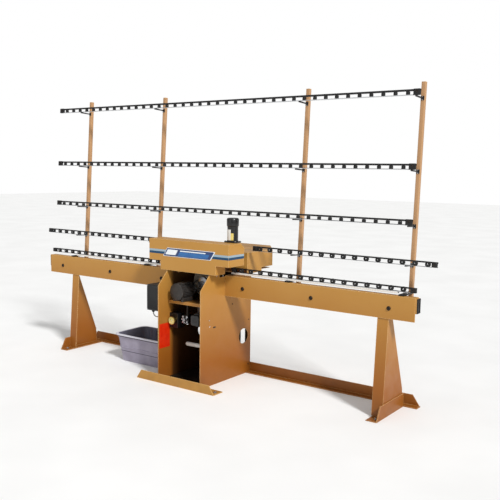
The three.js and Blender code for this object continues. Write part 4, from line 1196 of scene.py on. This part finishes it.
def gaugePieces():
    x, front, z = coolant["gauge"]
    radius = coolant["gaugeRadius"]
    case = turned("gaugeCase", [
        (19.6, 0.8 * radius), (4, 0.96 * radius), (0.6, radius), (0, radius - 0.8), (0, radius - 2.6),
        (2.4, radius - 3.4),
    ], (x, front, z), "Y", 48)
    dial = turned("dial", [(2.2, radius - 3.2), (1.7, radius - 3.4), (1.7, 2)], (x, front, z), "Y", 48)
    parts = [dress(case, brassYellow), dress(dial, dialYellow)]
    for step in range(11):
        angle = math.radians(225 - 27 * step)
        mark = barPiece("mark", (17.5, 0, -0.5), (4.5, 0.5, 1), 0.1, 1)
        parts.append(dress(placeAt(mark, (x, front + 1.3, z), (0, -angle, 0)), mouldedBlack))
    needle = barPiece("needle", (-5, 0, -0.8), (22, 0.5, 1.6), 0.2, 1)
    parts.append(dress(placeAt(needle, (x, front + 0.6, z), (0, math.radians(-128), 0)), mouldedBlack))
    parts.append(dress(turned("needleCap", [(0.2, 2), (1.8, 3)], (x, front, z), "Y", 16), turnedSteel))
    settle(joined("pressureGauge", parts), "frame", "gauge_face", "gauge")


def valvePieces():
    c = coolant
    low, size = c["box"], c["boxSize"]
    regulator = startBlock("regulator", low, size)
    pushedField(regulator, (0, -1, 0), 6, (0, 2, 0))
    parts = [dress(roundEdges(regulator, 2, 3), boxBlack)]
    x, front, z = c["valve"]
    half = c["valveSize"] / 2
    body = startBlock("valveBody", (x - half, front + 0.1, z - half), (2 * half, 2 * half, 2 * half))
    bevelCorners(body, "y", 12, 4)
    parts.append(dress(roundEdges(body, 1.6), motorBlack))
    mid = front + half
    riser = turned("riser", [(half - 4, 14), (half + 8, 14), (half + 9, 9), (half + 82, 9),
                             (half + 83, 13), (c["shelf"] - z, 13)], (x, mid, z), "Z", 24)
    cross = turned("crossPipe", [(-52, 9), (-half - 8, 9), (-half - 7, 13), (-half + 2, 13)],
                   (x, mid, z), "X", 24)
    parts += [dress(riser, darkSteel), dress(cross, darkSteel)]
    for dx, dz in ((-18, -18), (18, -18), (-18, 18), (18, 18)):
        parts.append(hexBolt("valveBolt", (x + dx, front, z + dz), "Y", 5, 3.4, zincPlate, 1.4))
    plug = turned("plug", [(-half + 1, 9), (-half - 10, 9), (-half - 11, 7)], (x, mid, z), "Z", 6)
    parts.append(dress(plug, zincPlate))
    for fitting in coolant["fittings"]:
        dx, dz, wide, long = fitting
        body = turned("fitting", [(1, wide), (-long, wide), (-(long + 1), (wide - 1.5))],
                      (x + dx, front, z + dz), "Y", 18)
        nut = turned("fittingNut", [(-long, 0.8 * wide), (-(long + 4), 0.7 * wide)],
                     (x + dx, front, z + dz), "Y", 6)
        parts += [dress(body, motorBlack), dress(nut, zincPlate)]
    settle(joined("regulatorAndValve", parts), "frame", "black_paint", "valve_block")

    boss = turned("handleBoss", [
        (-0.6, 10), (-13, 11), (-13.8, 10), (-13.8, 5), (-12, 4.6),
    ], (x, front - 0.1, z), "Y", 28)
    lever = startBlock("lever", (x, front - 14, z - 4.5), (42, 6, 9))
    editFaces(lever, lambda centre, normal: normal.x > 0.9)
    bpy.ops.transform.resize(value=(1, 0.8, 0.7), center_override=(x * mm, (front - 11) * mm, z * mm))
    leaveEdit()
    parts = [dress(boss, turnedSteel), dress(roundEdges(lever, 1.4, 3), motorBlack)]
    settle(joined("valveLever", parts), "valve_handle", "stop_red", "valve_handle")


def pumpPieces():
    c = coolant
    x, front, z = c["pump"]
    radius = c["pumpRadius"]
    rings = [(0, 30), (0, 44), (4, radius), (16, radius), (18, radius - 4)]
    for rib in range(9):
        start = 26 + 11 * rib
        rings += [(start, radius - 4), (start + 1, radius), (start + 4, radius), (start + 5, radius - 4)]
    rings += [(126, radius - 4), (128, radius), (142, radius), (149.8, radius - 8), (149.8, 20)]
    parts = [dress(turned("pumpShell", rings, (x, front, z), "Y", 40), motorBlack)]
    head = startBlock("pumpHead", (x - 35, front - 26, z - 35), (70, 27, 70))
    bevelCorners(head, "y", 15, 5)
    parts.append(dress(roundEdges(head, 2, 3), motorBlack))
    cover = turned("pumpCover", [(1, 20), (-0.4, 19), (-0.4, 8), (0.2, 6)],
                   (x, front - 25.6, z), "Y", 32)
    parts.append(dress(cover, motorBlack))
    for turn in range(6):
        angle = math.radians(60 * turn + 30)
        parts.append(hexBolt("headBolt", (x + 29 * math.cos(angle), front - 23.4, z + 29 * math.sin(angle)),
                             "Y",
                             3.4, 2.4, zincPlate, 1.3))
    hanger = barPiece("hanger", (x - 24, front + 30, z + 40), (48, 80, c["shelf"] - z - 40),
                      2)
    parts.append(dress(hanger, motorBlack))
    settle(joined("coolantPump", parts), "frame", "black_paint", "coolant_pump")


def pipePiece():
    c = coolant
    y, z = c["pipe"]
    end, radius = c["pipeEnd"], c["pipeRadius"]
    long = 203.6 - end
    pipe = turned("drainPipe", [
        (0, 3), (1.2, 7), (4, 11), (8, 13.4), (12, radius), (long - 26, radius),
    ], (end, y, z), "X", 32)
    collar = turned("drainCollar", [(long - 26, 13.9), (long - 25, 13.9), (long, 13.9)], (end, y, z), "X", 32)
    settle(joined("drainPipe", [dress(pipe, pipeWhite), dress(collar, pipeWhite)]), "frame", "white_plastic",
           "drain_pipe")


gaugePieces()
valvePieces()
pumpPieces()
pipePiece()
print("coolant side done")

# camera, light and floor

view = {"place": (3.1008, -3.9024, 1.4182), "lens": 51.81, "yaw": 35.486, "pitch": 6.281, "roll": 0.847}


def placeCamera():
    yaw, pitch, roll = (math.radians(view[key]) for key in ("yaw", "pitch", "roll"))
    forward = Vector((-math.sin(yaw) * math.cos(pitch), math.cos(yaw) * math.cos(pitch), -math.sin(pitch)))
    level = Vector((math.cos(yaw), math.sin(yaw), 0))
    upright = level.cross(forward)
    right = level * math.cos(roll) + upright * math.sin(roll)
    up = upright * math.cos(roll) - level * math.sin(roll)
    lens = bpy.data.cameras.new("studioCamera")
    lens.lens = view["lens"]
    lens.sensor_width = 36
    camera = bpy.data.objects.new("studioCamera", lens)
    bpy.context.scene.collection.objects.link(camera)
    turn = Matrix((right, up, -forward)).transposed().to_4x4()
    camera.matrix_world = Matrix.Translation(view["place"]) @ turn
    bpy.context.scene.camera = camera


def addLight(name, kind, place, aim, power, size):
    lamp = bpy.data.lights.new(name, kind)
    lamp.energy = power
    if kind == "SUN":
        lamp.angle = size
    else:
        lamp.size = size
    light = bpy.data.objects.new(name, lamp)
    light.location = place
    light.rotation_euler = (Vector(aim) - Vector(place)).to_track_quat("-Z", "Y").to_euler()
    bpy.context.scene.collection.objects.link(light)


studio = {"fill": 0.45, "aim": (0, 0, 0.6), "keyAway": (6.2, -3.03, 5.9), "keySpread": math.radians(9),
          "keyPower": 2.9,
          "frontAway": (-1.5, -5.5, 2.4), "frontSize": 3.0, "frontPower": 25}


def setStudio():
    clearSelection()
    bpy.ops.mesh.primitive_plane_add(size=60, location=(0, 0, 0))
    floor = bpy.context.object
    floor.name = "studioFloor"
    material, tree, shader, coords = startMaterial("paleFloor", 0, 0.7)
    tone = addRamp(tree, addNoise(tree, coords, 1.5, 2), colour(244, 244, 243), colour(249, 249, 248))
    tree.links.new(tone, shader.inputs["Base Color"])
    dress(floor, material)

    world = bpy.data.worlds.new("studioWorld")
    world.use_nodes = True
    tree = world.node_tree
    back = tree.nodes["Background"]
    back.inputs["Color"].default_value = (1, 1, 1, 1)
    path = tree.nodes.new("ShaderNodeLightPath")
    level = addMath(tree, "MULTIPLY_ADD", path.outputs["Is Camera Ray"], 1 - studio["fill"], studio["fill"])
    tree.links.new(level, back.inputs["Strength"])
    bpy.context.scene.world = world
    bpy.context.scene.view_settings.view_transform = "Standard"

    aim = Vector(studio["aim"])
    addLight("keyLight", "SUN", aim + Vector(studio["keyAway"]), aim, studio["keyPower"], studio["keySpread"])
    addLight("frontLight", "AREA", aim + Vector(studio["frontAway"]), aim, studio["frontPower"],
             studio["frontSize"])


placeCamera()
setStudio()
print("camera and light set")
